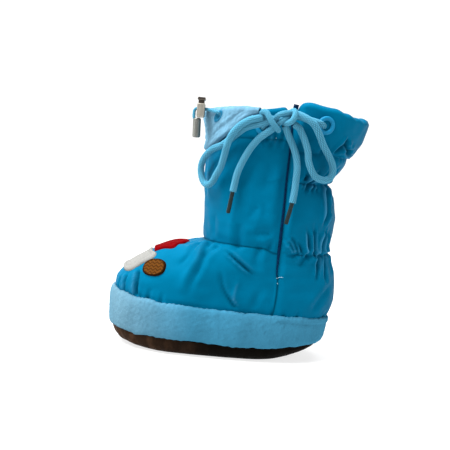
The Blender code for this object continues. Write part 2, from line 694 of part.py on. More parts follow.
def build_lock():
    """Flat cord lock: barrel with a socket and a cord window, and a plunger that slides in it."""
    tall = LOCK_TOP - LOCK_LOW
    barrel = box(
        "lock_barrel",
        (LOCK_DEPTH, LOCK_WIDTH, tall),
        (LOCK_X, LOCK_Y, 0.5 * (LOCK_TOP + LOCK_LOW)),
        SILVER,
    )
    rounded(barrel, 0.6)
    socket_depth = LOCK_DEPTH - 2 * LOCK_WALL
    socket_width = LOCK_WIDTH - 2 * LOCK_WALL
    socket = box(
        "socket",
        (socket_depth, socket_width, tall),
        (LOCK_X, LOCK_Y, 0.5 * (LOCK_TOP + LOCK_LOW) + LOCK_WALL),
        SILVER,
        CUTTERS,
    )
    hole = THIN_CORD + 0.9
    window = box("window", (12.0, hole + 0.6, hole), (LOCK_X, LOCK_Y, LOCK_CORD_Z), SILVER, CUTTERS)
    boolean(barrel, socket, "DIFFERENCE")
    boolean(barrel, window, "DIFFERENCE")

    stem_low = LOCK_CORD_Z - 0.5 * hole - 0.8
    cap_low = PLUNGER_TOP - PLUNGER_CAP
    stem_size = (
        socket_depth - 2 * LOCK_SLACK,
        socket_width - 2 * LOCK_SLACK,
        cap_low + 0.4 - stem_low,
    )
    plunger = box("lock_plunger", stem_size, (LOCK_X, LOCK_Y, 0.5 * (cap_low + 0.4 + stem_low)), CHROME)
    cap = box(
        "plunger_cap",
        (LOCK_DEPTH, LOCK_WIDTH, PLUNGER_CAP),
        (LOCK_X, LOCK_Y, PLUNGER_TOP - 0.5 * PLUNGER_CAP),
        CHROME,
        CUTTERS,
    )
    rounded(cap, 0.4)
    slot_tall = hole + LOCK_TRAVEL
    slot = box(
        "slot",
        (12.0, hole + 0.6, slot_tall),
        (LOCK_X, LOCK_Y, LOCK_CORD_Z - 0.5 * hole + 0.5 * slot_tall),
        CHROME,
        CUTTERS,
    )
    boolean(plunger, cap, "UNION")
    boolean(plunger, slot, "DIFFERENCE")

    as_mesh(tube("lock_cord", LOCK_ROUTE, THIN_CORD, SKY, 2.0))
    sleeve = as_mesh(tube("lock_cord_end", SLEEVE_ROUTE, SLEEVE, STEEL, 20.0))
    rounded(sleeve, 0.5)


def patch(name, height, round_share, spin, outline, look, backing):
    """Thin sewn-on patch: a disc with a shaped outline laid on the upper and given thickness."""
    spokes = 22
    turn = np.linspace(0.0, 2 * pi, spokes, endpoint=False)
    edge = np.stack([outline(a) for a in turn])
    mesh = bmesh.new()
    hub = mesh.verts.new((0.0, 0.0, 0.0))
    rings = []
    for k in (0.3, 0.55, 0.79, 1.0):
        rings.append([mesh.verts.new((x * MM * k, y * MM * k, 0.0)) for x, y in edge])
    for j in range(spokes):
        k = (j + 1) % spokes
        mesh.faces.new((hub, rings[0][j], rings[0][k]))
        for low, high in zip(rings, rings[1:]):
            mesh.faces.new((low[j], high[j], high[k], low[k]))
    data = bpy.data.meshes.new(name)
    mesh.to_mesh(data)
    mesh.free()
    made = bpy.data.objects.new(name, data)
    PARTS.objects.link(made)
    data.materials.append(look)
    made.matrix_world = surface_frame(height, round_share, 12.0) @ Matrix.Rotation(radians(spin), 4, "Z")
    wrap = made.modifiers.new("lie on", "SHRINKWRAP")
    wrap.wrap_method = "PROJECT"
    wrap.target = backing
    wrap.use_project_z = True
    wrap.use_negative_direction = True
    wrap.use_positive_direction = False
    wrap.offset = PATCH_GAP * MM
    shell = made.modifiers.new("thickness", "SOLIDIFY")
    shell.thickness = PATCH_THICK * MM
    shell.offset = 1.0
    return made


def mitten_outline(turn):
    """Rounded hand of a mitten with the thumb on one side and a straight wrist."""
    hand = MITTEN_LONG / np.hypot(cos(turn), sin(turn) * MITTEN_LONG / MITTEN_WIDE)
    thumb = THUMB_LONG * bell(turn - radians(THUMB_ANGLE), 0.26)
    x = (hand + thumb) * cos(turn)
    y = (hand + thumb) * sin(turn)
    return np.array([max(x, -MITTEN_WRIST * MITTEN_LONG), y])


def oval_outline(long, wide, power):
    """Super-ellipse of a half length and a half width."""

    def outline(turn):
        c = cos(turn)
        s = sin(turn)
        return np.array(
            [long * np.sign(c) * abs(c) ** (2.0 / power), wide * np.sign(s) * abs(s) ** (2.0 / power)]
        )

    return outline


for old in list(bpy.data.objects):
    bpy.data.objects.remove(old, do_unlink=True)

PARTS = collection("winter_bootie")
CUTTERS = collection("cutters")

NYLON = material("blue nylon", (0.0, 0.176, 0.352), 0.45)
VELOUR = material("light blue velour", (0.18, 0.43, 0.60), 0.95)
FLEECE = material("light blue fleece", (0.16, 0.40, 0.58), 0.95)
BROWN = material("brown sole", (0.020, 0.014, 0.010), 0.5)
SKY = material("light blue cord", (0.10, 0.36, 0.56), 0.85)
NAVY = material("navy zip", (0.004, 0.018, 0.07), 0.6)
GREY = material("grey tip", (0.045, 0.055, 0.06), 0.35)
SILVER = material("satin barrel", (0.40, 0.37, 0.31), 0.35, 0.6)
CHROME = material("dark plunger", (0.12, 0.10, 0.08), 0.15, 0.9)
STEEL = material("grey sleeve", (0.22, 0.22, 0.20), 0.35, 0.6)
RED = material("red felt", (0.36, 0.004, 0.008), 0.9)
WHITE = material("white felt", (0.66, 0.66, 0.63), 0.9)
TAN = material("brown felt", (0.16, 0.055, 0.010), 0.9)

build_outsole()
build_insole()
UPPER = build_upper()
build_band()
build_cuff()
build_zip()
build_eyelet("eyelet_front", 131.5, 0.69)
build_eyelet("eyelet_back", 132.2, 0.821)
build_bow()
build_lock()
patch("patch_mitten", 58.9, 0.503, 90.0, mitten_outline, RED, UPPER)
patch("patch_mitten_cuff", 49.0, 0.506, 90.0, oval_outline(9.6, 15.4, 2.8), WHITE, UPPER)
patch("patch_cone", 47.5, 0.571, 10.0, oval_outline(7.4, 5.4, 2.3), TAN, UPPER)
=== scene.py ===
"""Looks of a child's padded winter bootie: cloth, nap, cords, fittings and a plain studio.

Shapes are worked out in millimetres and put into meshes in metres. The toe points along -X, the zip side
along -Y. A place on the upper is a height and a share round it: 0 heel, 0.25 far seam, 0.5 front, 0.75 zip.
"""

from collections import namedtuple

import bmesh
import bpy
import numpy as np
from mathutils import Matrix, Vector


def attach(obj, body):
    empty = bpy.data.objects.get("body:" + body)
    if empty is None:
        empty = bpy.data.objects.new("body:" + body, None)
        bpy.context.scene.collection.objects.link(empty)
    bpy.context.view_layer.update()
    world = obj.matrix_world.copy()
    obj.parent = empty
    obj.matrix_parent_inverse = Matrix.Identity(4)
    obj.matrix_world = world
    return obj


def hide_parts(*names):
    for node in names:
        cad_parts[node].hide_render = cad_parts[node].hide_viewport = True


bl_info = {
    "name": "Winter bootie looks",
    "version": (1, 0, 0),
    "blender": (4, 5, 0),
    "location": "3D View > Sidebar > Bootie",
    "description": "Builds the cloth, cords, fittings and studio of a padded winter bootie",
    "category": "Object",
}

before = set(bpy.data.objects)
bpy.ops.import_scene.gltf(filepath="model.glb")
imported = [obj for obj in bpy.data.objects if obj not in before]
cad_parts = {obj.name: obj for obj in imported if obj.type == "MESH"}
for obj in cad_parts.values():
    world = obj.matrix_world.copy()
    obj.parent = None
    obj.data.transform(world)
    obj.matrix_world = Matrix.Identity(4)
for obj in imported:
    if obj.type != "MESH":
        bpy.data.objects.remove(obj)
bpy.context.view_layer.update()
BODY = "boot"
MM = 0.001
PI = np.pi

# Sizes shared with the solids
LENGTH = 128.0
BALL_WIDTH = 59.0
INSTEP_HEIGHT = 65.2
COLLAR_HEIGHT = 140.0
ANKLE_ELASTIC = 63.5
WAIST_ELASTIC = 103.5
BACK_CASING = 120.0
FRONT_CASING = 125.0
SEAM_X = 30.2
TOE_IN = 2.5
WALL = 3.0
BAND_LOW = 9.0
SOLE_LIP = 1.9
SOLE_RUN_SIDE = 9.0
SOLE_RUN_TOE = 8.0
SOLE_RUN_HEEL = 24.0
SOLE_RUN_QUARTER = 17.0
TOE_SPRING = 3.2
TOE_SPRING_FROM = -24.0
TOE_SPRING_RUN = 38.0
HEEL_SPRING = 4.6
HEEL_SPRING_FROM = 18.0
HEEL_SPRING_RUN = 39.0
CUFF_HALF = 0.175
CUFF_THICK = 2.3
CORD = 3.9
THIN_CORD = 2.0
TIP = 2.3
SLEEVE = 4.6
MITTEN_LONG = 13.0
MITTEN_WIDE = 12.0
MITTEN_WRIST = 0.6
THUMB_LONG = 4.0
THUMB_ANGLE = 285.0

# Sizes of the looks alone
UPPER_LOW = 13.0
UPPER_HIGH = 139.0
DEEPEST = 1.5
CREASE_STEP = 0.6
CUFF_ROWS = 46
CUFF_COLUMNS = 260
ZIP_LOW = 50.0
ZIP_HIGH = 138.5
ZIP_TEETH = 1.1
EYELET_RADIUS = 3.9
EYELET_BEAD = 1.2
BRAID_YARNS = 5.0
BRAID_PITCH = 4.4
BRAID_INSET = 0.16
THREAD = 0.26
PATCH_BORDER = 6.0
PATCH_RINGS = 30

Section = namedtuple("Section", "rise toe heel widest width toe_round heel_round")
FOOT = (
    Section(0.135, 0.473, 0.449, -0.156, 0.95, 2.3, 2.6),
    Section(0.210, 0.483, 0.469, -0.156, 0.975, 2.3, 2.6),
    Section(0.300, 0.486, 0.476, -0.150, 0.99, 2.3, 2.6),
    Section(0.405, 0.487, 0.484, -0.140, 0.995, 2.3, 2.6),
    Section(0.495, 0.486, 0.498, -0.125, 1.0, 2.3, 2.6),
    Section(0.580, 0.480, 0.505, -0.100, 1.0, 2.3, 2.6),
    Section(0.655, 0.452, 0.506, -0.075, 1.0, 2.25, 2.5),
    Section(0.720, 0.412, 0.504, -0.040, 1.0, 2.2, 2.5),
    Section(0.780, 0.368, 0.499, 0.000, 1.0, 2.2, 2.4),
    Section(0.840, 0.322, 0.490, 0.040, 1.0, 2.15, 2.4),
    Section(0.900, 0.266, 0.478, 0.086, 0.99, 2.1, 2.3),
    Section(0.947, 0.203, 0.469, 0.133, 0.975, 2.1, 2.3),
    Section(0.977, 0.136, 0.455, 0.160, 0.97, 2.1, 2.3),
    Section(1.000, 0.098, 0.451, 0.180, 0.965, 2.1, 2.3),
)
SHAFT = (
    Section(0.075, 0.097, 0.457, 0.184, 1.0, 2.1, 2.2),
    Section(0.240, 0.099, 0.462, 0.184, 1.05, 2.1, 2.2),
    Section(0.400, 0.105, 0.449, 0.176, 1.05, 2.1, 2.2),
    Section(0.505, 0.110, 0.420, 0.168, 1.035, 2.1, 2.2),
    Section(0.620, 0.109, 0.462, 0.180, 1.07, 2.1, 2.2),
    Section(0.730, 0.104, 0.505, 0.195, 1.10, 2.1, 2.2),
    Section(0.865, 0.102, 0.548, 0.211, 1.135, 2.1, 2.2),
    Section(1.000, 0.102, 0.570, 0.223, 1.155, 2.1, 2.2),
)
Panel = namedtuple("Panel", "low high rise fullness")
FRONT_PANELS = (
    Panel(30.0, INSTEP_HEIGHT, 1.2, 0.5),
    Panel(INSTEP_HEIGHT, FRONT_CASING, 1.3, 0.4),
    Panel(FRONT_CASING, 155.0, 1.6, 0.4),
)
BACK_PANELS = (
    Panel(25.5, ANKLE_ELASTIC, 2.2, 0.5),
    Panel(ANKLE_ELASTIC, WAIST_ELASTIC, 3.6, 0.6),
    Panel(WAIST_ELASTIC, BACK_CASING, 3.4, 0.6),
    Panel(BACK_CASING, 158.0, 3.8, 0.2),
)
# Lifts of the collar: place round the boot, height and spread
Lift = namedtuple("Lift", "place lift spread")
COLLAR_LIFTS = (
    Lift(0.79, 5.0, 0.07),
    Lift(0.83, 1.9, 0.08),
    Lift(0.75, -7.0, 0.012),
    Lift(0.50, -2.4, 0.1),
    Lift(0.25, 2.0, 0.1),
)

# Creases, charted one by one. Places are (hundredths of the way round, height). A trough has a depth above
# zero and a ridge one below; lean moves its lip to one side; near and far weigh its two ends.
Crease = namedtuple("Crease", "depth width lean near far route")
VAMP_CREASES = (
    Crease(2.2, 1.2, 0.3, 0.8, 1.0, ((55.2, 45.0), (56.3, 40.5), (56.8, 33.0))),
    Crease(2.0, 1.0, 0.2, 0.6, 1.0, ((54.3, 41.0), (54.5, 38.0), (54.7, 33.0))),
    Crease(0.8, 1.0, 0.2, 0.5, 1.0, ((53.2, 39.5), (53.1, 36.0), (53.0, 33.0))),
    Crease(-0.4, 1.4, 0.0, 0.5, 1.0, ((54.9, 42.5), (55.4, 38.0), (55.8, 33.0))),
    Crease(1.0, 1.1, 0.2, 0.5, 0.4, ((56.6, 41.5), (57.2, 37.0), (57.5, 34.0))),
    Crease(1.5, 0.8, 0.5, 0.8, 0.9, ((64.0, 62.0), (68.5, 56.2), (72.2, 48.6))),
    Crease(-0.6, 0.9, 0.0, 0.8, 0.8, ((64.4, 63.0), (69.0, 57.4), (72.4, 50.4))),
    Crease(1.2, 1.3, -0.3, 0.4, 1.0, ((66.3, 51.5), (68.2, 40.5), (69.8, 32.0))),
    Crease(1.1, 1.8, 0.3, 1.0, 0.6, ((58.8, 63.6), (63.0, 54.5), (63.7, 43.0), (63.9, 33.0))),
    Crease(-0.8, 2.2, 0.0, 1.0, 0.6, ((57.4, 63.6), (61.5, 56.5), (62.3, 45.5), (62.7, 34.0))),
    Crease(1.0, 1.8, 0.2, 1.0, 0.3, ((55.8, 63.4), (60.0, 56.0), (60.2, 49.0))),
    Crease(-0.8, 1.4, 0.0, 0.6, 0.9, ((69.7, 47.0), (69.7, 38.0), (70.1, 31.0))),
    Crease(0.9, 2.0, -0.4, 1.0, 0.2, ((70.6, 63.5), (71.4, 57.0), (72.6, 52.0))),
    Crease(1.0, 1.8, 0.0, 1.0, 0.2, ((61.8, 62.5), (62.6, 55.0))),
    Crease(0.9, 2.2, 0.2, 0.3, 0.9, ((73.2, 42.0), (72.6, 36.0), (72.4, 29.5))),
    Crease(0.5, 1.8, 0.0, 1.0, 0.2, ((53.0, 63.2), (53.6, 58.0))),
    Crease(1.0, 2.0, -0.2, 1.0, 0.2, ((45.6, 63.2), (44.6, 57.0))),
    Crease(1.2, 1.6, -0.4, 0.9, 0.7, ((39.0, 62.4), (36.2, 56.0), (33.4, 47.5))),
    Crease(-0.9, 3.4, 0.0, 0.9, 0.5, ((41.8, 61.5), (39.8, 50.0), (38.6, 38.0))),
    Crease(1.0, 2.2, 0.3, 1.0, 0.4, ((35.0, 63.0), (33.6, 54.0), (33.0, 40.0))),
    Crease(1.1, 1.8, 0.3, 0.4, 1.0, ((36.4, 45.0), (35.6, 38.0), (34.4, 31.0))),
    Crease(0.8, 2.4, 0.0, 1.0, 0.3, ((29.4, 63.5), (29.0, 55.0), (28.0, 47.0))),
    Crease(0.9, 2.2, 0.0, 0.3, 0.9, ((30.2, 42.0), (30.8, 35.0), (31.0, 29.5))),
)
# Puckers where the band is sewn on
Pucker = namedtuple("Pucker", "round top depth")
BAND_PUCKERS = (
    (58.6, 38.0, 0.9), (60.4, 37.0, 0.6), (50.8, 40.5, 1.0), (48.9, 39.5, 0.8), (47.0, 40.5, 1.1),
    (45.2, 39.0, 0.8), (43.1, 40.0, 1.0), (41.0, 37.5, 0.7), (78.4, 32.5, 0.6), (82.6, 33.5, 0.7),
    (93.4, 32.5, 0.7), (97.0, 33.5, 0.8), (101.0, 33.0, 0.7), (105.5, 34.0, 0.8), (110.0, 33.0, 0.7),
    (116.0, 33.5, 0.7), (121.0, 32.5, 0.6),
)
SHAFT_CREASES = (
    Crease(0.9, 3.0, 0.3, 0.7, 0.6, ((71.2, 116.0), (70.6, 104.0), (70.2, 95.0))),
    Crease(1.1, 2.6, 0.2, 0.5, 1.0, ((65.4, 79.0), (65.1, 73.0), (65.1, 67.0))),
    Crease(1.2, 2.6, 0.5, 0.7, 0.8, ((68.6, 73.0), (70.8, 74.2), (73.4, 73.4))),
    Crease(-0.6, 2.2, 0.0, 0.7, 0.7, ((70.6, 102.5), (72.6, 104.6), (74.4, 105.5))),
    Crease(0.6, 2.0, 0.4, 0.8, 0.6, ((70.4, 91.0), (70.8, 86.0), (70.5, 82.0))),
    Crease(0.7, 2.2, -0.4, 0.9, 0.5, ((69.4, 89.0), (68.2, 84.5), (66.9, 80.0))),
    Crease(0.7, 3.2, 0.2, 0.8, 0.5, ((62.0, 112.0), (62.6, 98.0), (63.4, 84.0))),
    Crease(-0.6, 3.6, 0.0, 0.6, 0.8, ((67.2, 112.0), (67.4, 98.0), (67.6, 86.0))),
    Crease(0.8, 1.8, 0.3, 1.0, 0.2, ((72.6, 67.0), (72.9, 71.5))),
    Crease(0.7, 2.6, 0.0, 0.4, 0.9, ((58.0, 82.0), (57.8, 74.0), (58.2, 67.0))),
    Crease(0.7, 2.8, 0.2, 0.9, 0.4, ((52.0, 114.0), (52.6, 98.0), (53.0, 84.0))),
    Crease(-0.5, 3.4, 0.0, 0.7, 0.7, ((47.0, 108.0), (46.6, 92.0), (47.2, 78.0))),
    Crease(0.8, 2.4, -0.2, 0.3, 1.0, ((43.6, 80.0), (43.2, 73.0), (43.4, 67.0))),
    Crease(0.8, 2.8, 0.0, 0.8, 0.6, ((38.4, 114.0), (37.8, 100.0), (38.0, 86.0))),
    Crease(1.0, 2.4, 0.4, 0.7, 0.9, ((31.4, 74.0), (29.6, 75.0), (27.0, 73.8))),
    Crease(0.8, 2.4, 0.0, 0.4, 1.0, ((34.6, 80.0), (34.8, 73.0), (34.6, 67.0))),
    Crease(0.9, 2.8, -0.2, 0.7, 0.6, ((29.0, 116.0), (29.8, 104.0), (30.4, 94.0))),
)
# Folds drawn up by the two elastics and the casing line of the back
BACK_CREASES = (
    Crease(1.5, 1.0, 0.4, 0.3, 1.0, ((76.0, 73.5), (77.9, 70.5), (79.7, 65.6))),
    Crease(1.9, 1.1, 0.4, 0.3, 1.0, ((77.3, 75.5), (79.3, 71.0), (81.0, 64.8))),
    Crease(1.8, 1.0, 0.3, 0.3, 1.0, ((79.6, 73.0), (81.1, 69.5), (82.3, 64.4))),
    Crease(-1.1, 0.8, 0.0, 0.5, 1.0, ((81.7, 79.0), (82.6, 72.5), (83.6, 64.0))),
    Crease(1.8, 0.9, 0.0, 0.3, 1.0, ((82.3, 78.5), (83.3, 72.5), (84.3, 64.0))),
    Crease(-1.2, 0.8, 0.0, 0.5, 1.0, ((83.8, 78.0), (84.9, 72.0), (86.0, 64.0))),
    Crease(2.0, 1.0, -0.3, 0.3, 1.0, ((84.5, 81.0), (85.6, 72.0), (86.9, 64.0))),
    Crease(-1.2, 0.8, 0.0, 0.8, 1.0, ((88.9, 78.4), (87.7, 73.0), (88.2, 64.0))),
    Crease(1.9, 0.9, 0.2, 0.6, 1.0, ((89.3, 78.6), (88.8, 72.5), (89.4, 64.0))),
    Crease(-1.1, 0.8, 0.0, 0.7, 1.0, ((89.9, 76.5), (89.8, 71.0), (90.7, 64.0))),
    Crease(1.9, 1.0, 0.0, 0.4, 1.0, ((91.2, 77.0), (91.2, 70.5), (92.4, 64.0))),
    Crease(-1.0, 0.9, 0.0, 0.4, 1.0, ((92.6, 76.0), (92.9, 70.0), (94.0, 64.0))),
    Crease(1.7, 1.0, 0.2, 1.0, 0.1, ((81.0, 107.0), (80.7, 102.5), (80.3, 97.5))),
    Crease(2.0, 1.1, 0.2, 1.0, 0.1, ((83.0, 106.5), (82.2, 102.0), (81.0, 96.0))),
    Crease(1.9, 1.0, 0.2, 1.0, 0.1, ((85.1, 106.0), (84.4, 102.0), (83.5, 96.5))),
    Crease(1.8, 1.0, 0.0, 1.0, 0.2, ((87.5, 105.5), (86.4, 101.5), (85.6, 97.0))),
    Crease(-0.9, 0.8, 0.0, 1.0, 0.2, ((81.8, 107.5), (81.4, 103.0), (80.6, 99.0))),
    Crease(-1.0, 0.8, 0.0, 1.0, 0.2, ((84.0, 106.5), (83.3, 102.0), (82.4, 98.0))),
    Crease(-0.9, 0.8, 0.0, 1.0, 0.2, ((86.3, 106.0), (85.4, 102.0), (84.6, 98.0))),
    Crease(1.2, 1.4, 0.2, 1.0, 0.1, ((77.8, 104.0), (77.3, 98.0), (77.4, 93.0))),
    Crease(3.2, 1.3, 0.0, 1.0, 0.8, ((91.0, 103.0), (88.9, 95.0), (88.2, 87.0), (88.2, 79.6))),
    Crease(-1.3, 0.8, 0.0, 1.0, 0.8, ((89.2, 103.5), (87.3, 95.5), (86.9, 87.5), (87.3, 80.0))),
    Crease(-1.2, 0.9, 0.0, 1.0, 0.5, ((92.6, 103.0), (91.0, 96.5), (92.4, 90.5))),
    Crease(-1.1, 0.8, 0.0, 0.6, 0.9, ((92.2, 90.0), (89.7, 86.0), (89.3, 80.0))),
    Crease(1.4, 1.4, 0.2, 1.0, 0.1, ((80.1, 63.6), (78.4, 62.8), (76.9, 61.4))),
    Crease(1.8, 2.0, 0.2, 1.0, 0.0, ((84.3, 63.4), (82.8, 60.5), (81.2, 56.0))),
    Crease(-1.1, 0.8, 0.0, 1.0, 0.3, ((87.7, 64.0), (86.8, 56.5), (86.8, 48.5))),
    Crease(1.9, 1.2, -0.3, 1.0, 0.2, ((88.6, 64.0), (87.7, 56.0), (87.2, 46.5))),
    Crease(-1.1, 0.8, 0.0, 1.0, 0.3, ((90.7, 64.0), (89.3, 56.0), (90.1, 45.5))),
    Crease(1.9, 1.3, -0.3, 1.0, 0.2, ((91.6, 64.0), (90.5, 55.5), (90.9, 45.5))),
    Crease(-0.9, 1.0, 0.0, 1.0, 0.4, ((96.2, 63.0), (95.4, 56.0), (95.0, 49.0))),
    Crease(1.0, 2.4, 0.5, 0.5, 0.8, ((93.0, 47.0), (89.0, 38.0), (86.8, 30.0))),
    Crease(1.4, 1.2, 0.2, 1.0, 0.2, ((79.6, 104.2), (80.6, 109.0), (81.6, 114.0))),
    Crease(1.5, 1.2, 0.2, 1.0, 0.2, ((82.6, 104.2), (83.6, 109.0), (84.4, 114.0))),
    Crease(1.6, 1.2, 0.0, 1.0, 0.3, ((85.8, 104.2), (87.2, 109.0), (88.2, 115.0))),
    Crease(1.5, 1.3, 0.0, 1.0, 0.3, ((89.0, 104.2), (90.4, 110.0), (92.4, 116.5))),
    Crease(3.0, 1.4, 0.3, 0.8, 0.9, ((88.2, 128.4), (90.5, 124.2), (93.6, 125.2))),
    Crease(2.0, 1.2, 0.0, 1.0, 0.6, ((88.4, 128.0), (87.4, 124.6), (86.4, 120.6))),
)
# Gathers that the far side and the heel hide from the first view, by the height of the seam that draws them
Gather = namedtuple("Gather", "round reach slant depth")
GATHERS = {
    64.6: (
        (94.6, 13.0, -0.4, 1.8), (97.4, 17.0, 0.3, 2.0), (100.2, 12.0, 0.2, 1.8), (102.8, 16.0, -0.3, 2.0),
        (105.4, 11.0, 0.4, 1.8), (108.0, 15.0, 0.2, 2.0), (110.6, 12.0, 0.6, 1.8), (113.4, 17.0, 0.5, 2.0),
        (116.0, 11.0, 0.7, 1.7), (118.6, 13.0, 1.4, 1.7), (121.0, 9.0, 1.8, 1.4), (123.0, 6.0, 1.2, 1.1),
    ),
    62.8: (
        (98.0, -13.0, 0.3, 1.6), (101.6, -16.0, -0.4, 1.8), (105.0, -11.0, 0.4, 1.6),
        (108.8, -15.0, 0.3, 1.8), (112.6, -12.0, -0.4, 1.7), (116.4, -9.0, 1.2, 1.5),
        (120.4, -6.0, 1.6, 1.2),
    ),
    103.0: (
        (93.0, -12.0, 0.5, 1.8), (95.8, -16.0, -0.3, 2.0), (98.6, -11.0, 0.4, 1.8),
        (101.4, -18.0, 0.3, 2.1), (104.2, -12.0, -0.2, 1.8), (107.0, -20.0, 0.4, 2.2),
        (110.0, -13.0, 0.6, 1.8), (113.0, -10.0, 0.8, 1.7), (116.0, -9.0, 0.9, 1.6),
        (119.0, -9.0, 0.7, 1.5), (122.0, -7.0, 0.5, 1.2),
    ),
    104.2: (
        (93.0, 11.0, 0.9, 1.5), (96.4, 9.0, -0.5, 1.5), (99.8, 12.0, 0.4, 1.6), (103.0, 9.0, -0.4, 1.5),
        (106.4, 12.0, 0.5, 1.6), (109.8, 9.0, -0.6, 1.5), (113.2, 11.0, 0.5, 1.5), (116.6, 9.0, -0.4, 1.4),
        (120.2, 8.0, 0.4, 1.3),
    ),
    121.0: (
        (83.0, 6.0, 0.4, 0.8), (96.6, 7.0, 0.5, 1.2), (100.4, 6.0, -0.4, 1.1), (104.0, 8.0, 0.4, 1.3),
        (107.8, 6.0, -0.5, 1.1), (111.6, 8.0, 0.6, 1.2), (115.6, 6.0, 0.3, 1.0), (119.6, 6.0, 0.4, 0.9),
    ),
    125.6: (
        (69.7, 5.0, 0.3, 1.0), (71.6, 6.0, -0.3, 1.1), (73.2, 4.0, 0.2, 0.8), (29.4, 6.0, 0.2, 1.0),
        (31.8, 5.0, -0.2, 0.9), (27.4, 5.0, 0.2, 0.9),
    ),
    124.4: (
        (68.6, -5.0, 0.2, 0.8), (70.6, -6.0, -0.2, 0.9), (72.6, -5.0, 0.2, 0.8), (30.6, -6.0, 0.2, 0.9),
        (28.4, -5.0, 0.2, 0.8),
    ),
}

# Routes of the bow and of the lock's thin cord, as in the solids; the knot's strands are drawn tighter
KNOT_STRANDS = (
    ((12.8, -39.0, 138.5), (13.6, -41.4, 139.4), (15.2, -43.4, 138.9), (17.2, -44.4, 136.0),
     (19.3, -44.2, 133.2), (21.5, -42.8, 131.1), (22.5, -40.2, 130.4)),
    ((19.7, -39.6, 134.8), (20.4, -41.6, 136.6), (22.1, -42.8, 138.4), (25.0, -42.8, 139.6),
     (27.9, -41.8, 140.1), (30.4, -39.8, 139.8)),
    ((28.7, -39.4, 141.0), (29.7, -41.6, 141.2), (30.3, -43.4, 139.9), (30.0, -44.4, 137.9),
     (29.0, -44.4, 135.9), (27.5, -43.6, 134.8), (25.8, -41.8, 134.4), (24.8, -39.6, 134.7)),
    ((21.9, -39.8, 133.4), (22.8, -41.8, 134.4), (24.6, -42.6, 136.0), (26.5, -42.0, 137.1),
     (28.4, -40.4, 138.1)),
    ((13.2, -39.0, 137.2), (17.0, -39.0, 136.6), (22.0, -38.6, 135.6), (27.0, -38.6, 136.6),
     (31.0, -39.2, 138.2)),
    ((15.4, -39.6, 134.8), (14.6, -37.4, 132.4), (14.7, -35.6, 131.8), (14.95, -34.0, 131.85)),
    ((11.8, -38.6, 132.9), (15.0, -39.2, 134.0), (18.5, -39.4, 134.8)),
)
KNOT_THICK = (3.2, 3.2, 3.4, 2.9, 3.4, 3.9, 3.9)
RUN_BACK = (
    (31.4, -38.6, 138.6), (33.8, -37.9, 138.6), (36.6, -37.9, 137.9), (39.4, -37.9, 137.2),
    (42.8, -37.8, 136.5), (45.0, -36.4, 136.0), (46.4, -34.6, 135.4), (47.2, -32.6, 134.9),
)
LOOP_FRONT = (
    (13.6, -39.9, 136.5), (10.2, -39.7, 135.5), (6.8, -39.4, 134.4), (2.5, -38.2, 131.5),
    (-1.7, -36.8, 126.5), (-4.0, -34.6, 120.1), (-5.1, -31.2, 113.9), (-6.4, -28.6, 108.1),
    (-8.4, -26.2, 103.6), (-10.3, -24.0, 99.3), (-12.8, -20.5, 97.1), (-15.5, -16.8, 98.6),
    (-17.3, -15.2, 103.1), (-17.5, -15.6, 108.2), (-15.4, -18.4, 113.5), (-11.6, -22.6, 117.5),
    (-6.8, -27.0, 120.0), (-2.3, -30.4, 123.9), (4.1, -34.9, 129.7), (8.0, -37.2, 131.6),
    (10.8, -38.2, 132.4), (13.4, -38.9, 133.4),
)
LOOP_BACK = (
    (31.4, -41.4, 139.8), (34.2, -42.6, 138.8), (37.4, -43.2, 137.4), (40.7, -43.0, 135.1),
    (43.8, -41.6, 130.8), (47.1, -38.6, 125.0), (51.3, -34.6, 119.3), (53.8, -32.2, 115.3),
    (54.8, -31.0, 111.2), (53.6, -31.0, 107.5), (50.0, -33.0, 106.2), (45.2, -36.0, 107.6),
    (42.1, -37.6, 111.5), (40.2, -38.2, 116.1), (39.3, -38.8, 120.9), (36.8, -39.4, 126.8),
    (34.2, -39.8, 131.4), (33.2, -39.9, 132.8), (30.4, -40.0, 134.4),
)
END_FRONT = (
    (20.0, -39.8, 131.4), (17.7, -39.2, 129.6), (14.6, -38.0, 127.0), (12.2, -36.8, 124.6),
    (8.6, -35.2, 119.3), (5.2, -33.9, 112.1), (3.0, -32.7, 105.6), (2.1, -32.1, 99.9), (1.5, -31.8, 95.3),
)
END_BACK = (
    (25.6, -39.8, 133.2), (26.7, -39.1, 131.3), (28.6, -37.8, 127.6), (31.3, -36.9, 122.8),
    (33.5, -37.0, 117.6), (34.7, -37.2, 111.5), (34.8, -36.4, 104.5), (34.6, -36.4, 98.3),
    (34.1, -36.6, 92.4),
)
TIP_FRONT = ((1.5, -31.8, 95.6), (0.0, -30.4, 83.2))
TIP_BACK = ((34.1, -36.6, 92.7), (31.8, -36.2, 80.6))
LOCK_ROUTE = (
    (-3.2, -21.0, 133.8), (-6.8, -21.6, 135.6), (-10.6, -23.5, 137.5), (-12.9, -21.9, 138.2),
    (-15.3, -19.4, 138.8), (-17.2, -17.2, 139.1), (-18.8, -16.0, 139.1), (-20.6, -16.0, 139.1),
    (-22.8, -16.0, 139.1), (-23.8, -16.0, 138.6), (-24.3, -16.0, 137.5), (-24.3, -16.0, 136.2),
    (-24.3, -16.0, 135.2), (-24.2, -16.0, 134.3), (-23.6, -16.0, 132.4), (-23.0, -16.0, 130.0),
)
SLEEVE_ROUTE = ((-22.4, -16.0, 133.9), (-21.9, -16.0, 122.9))


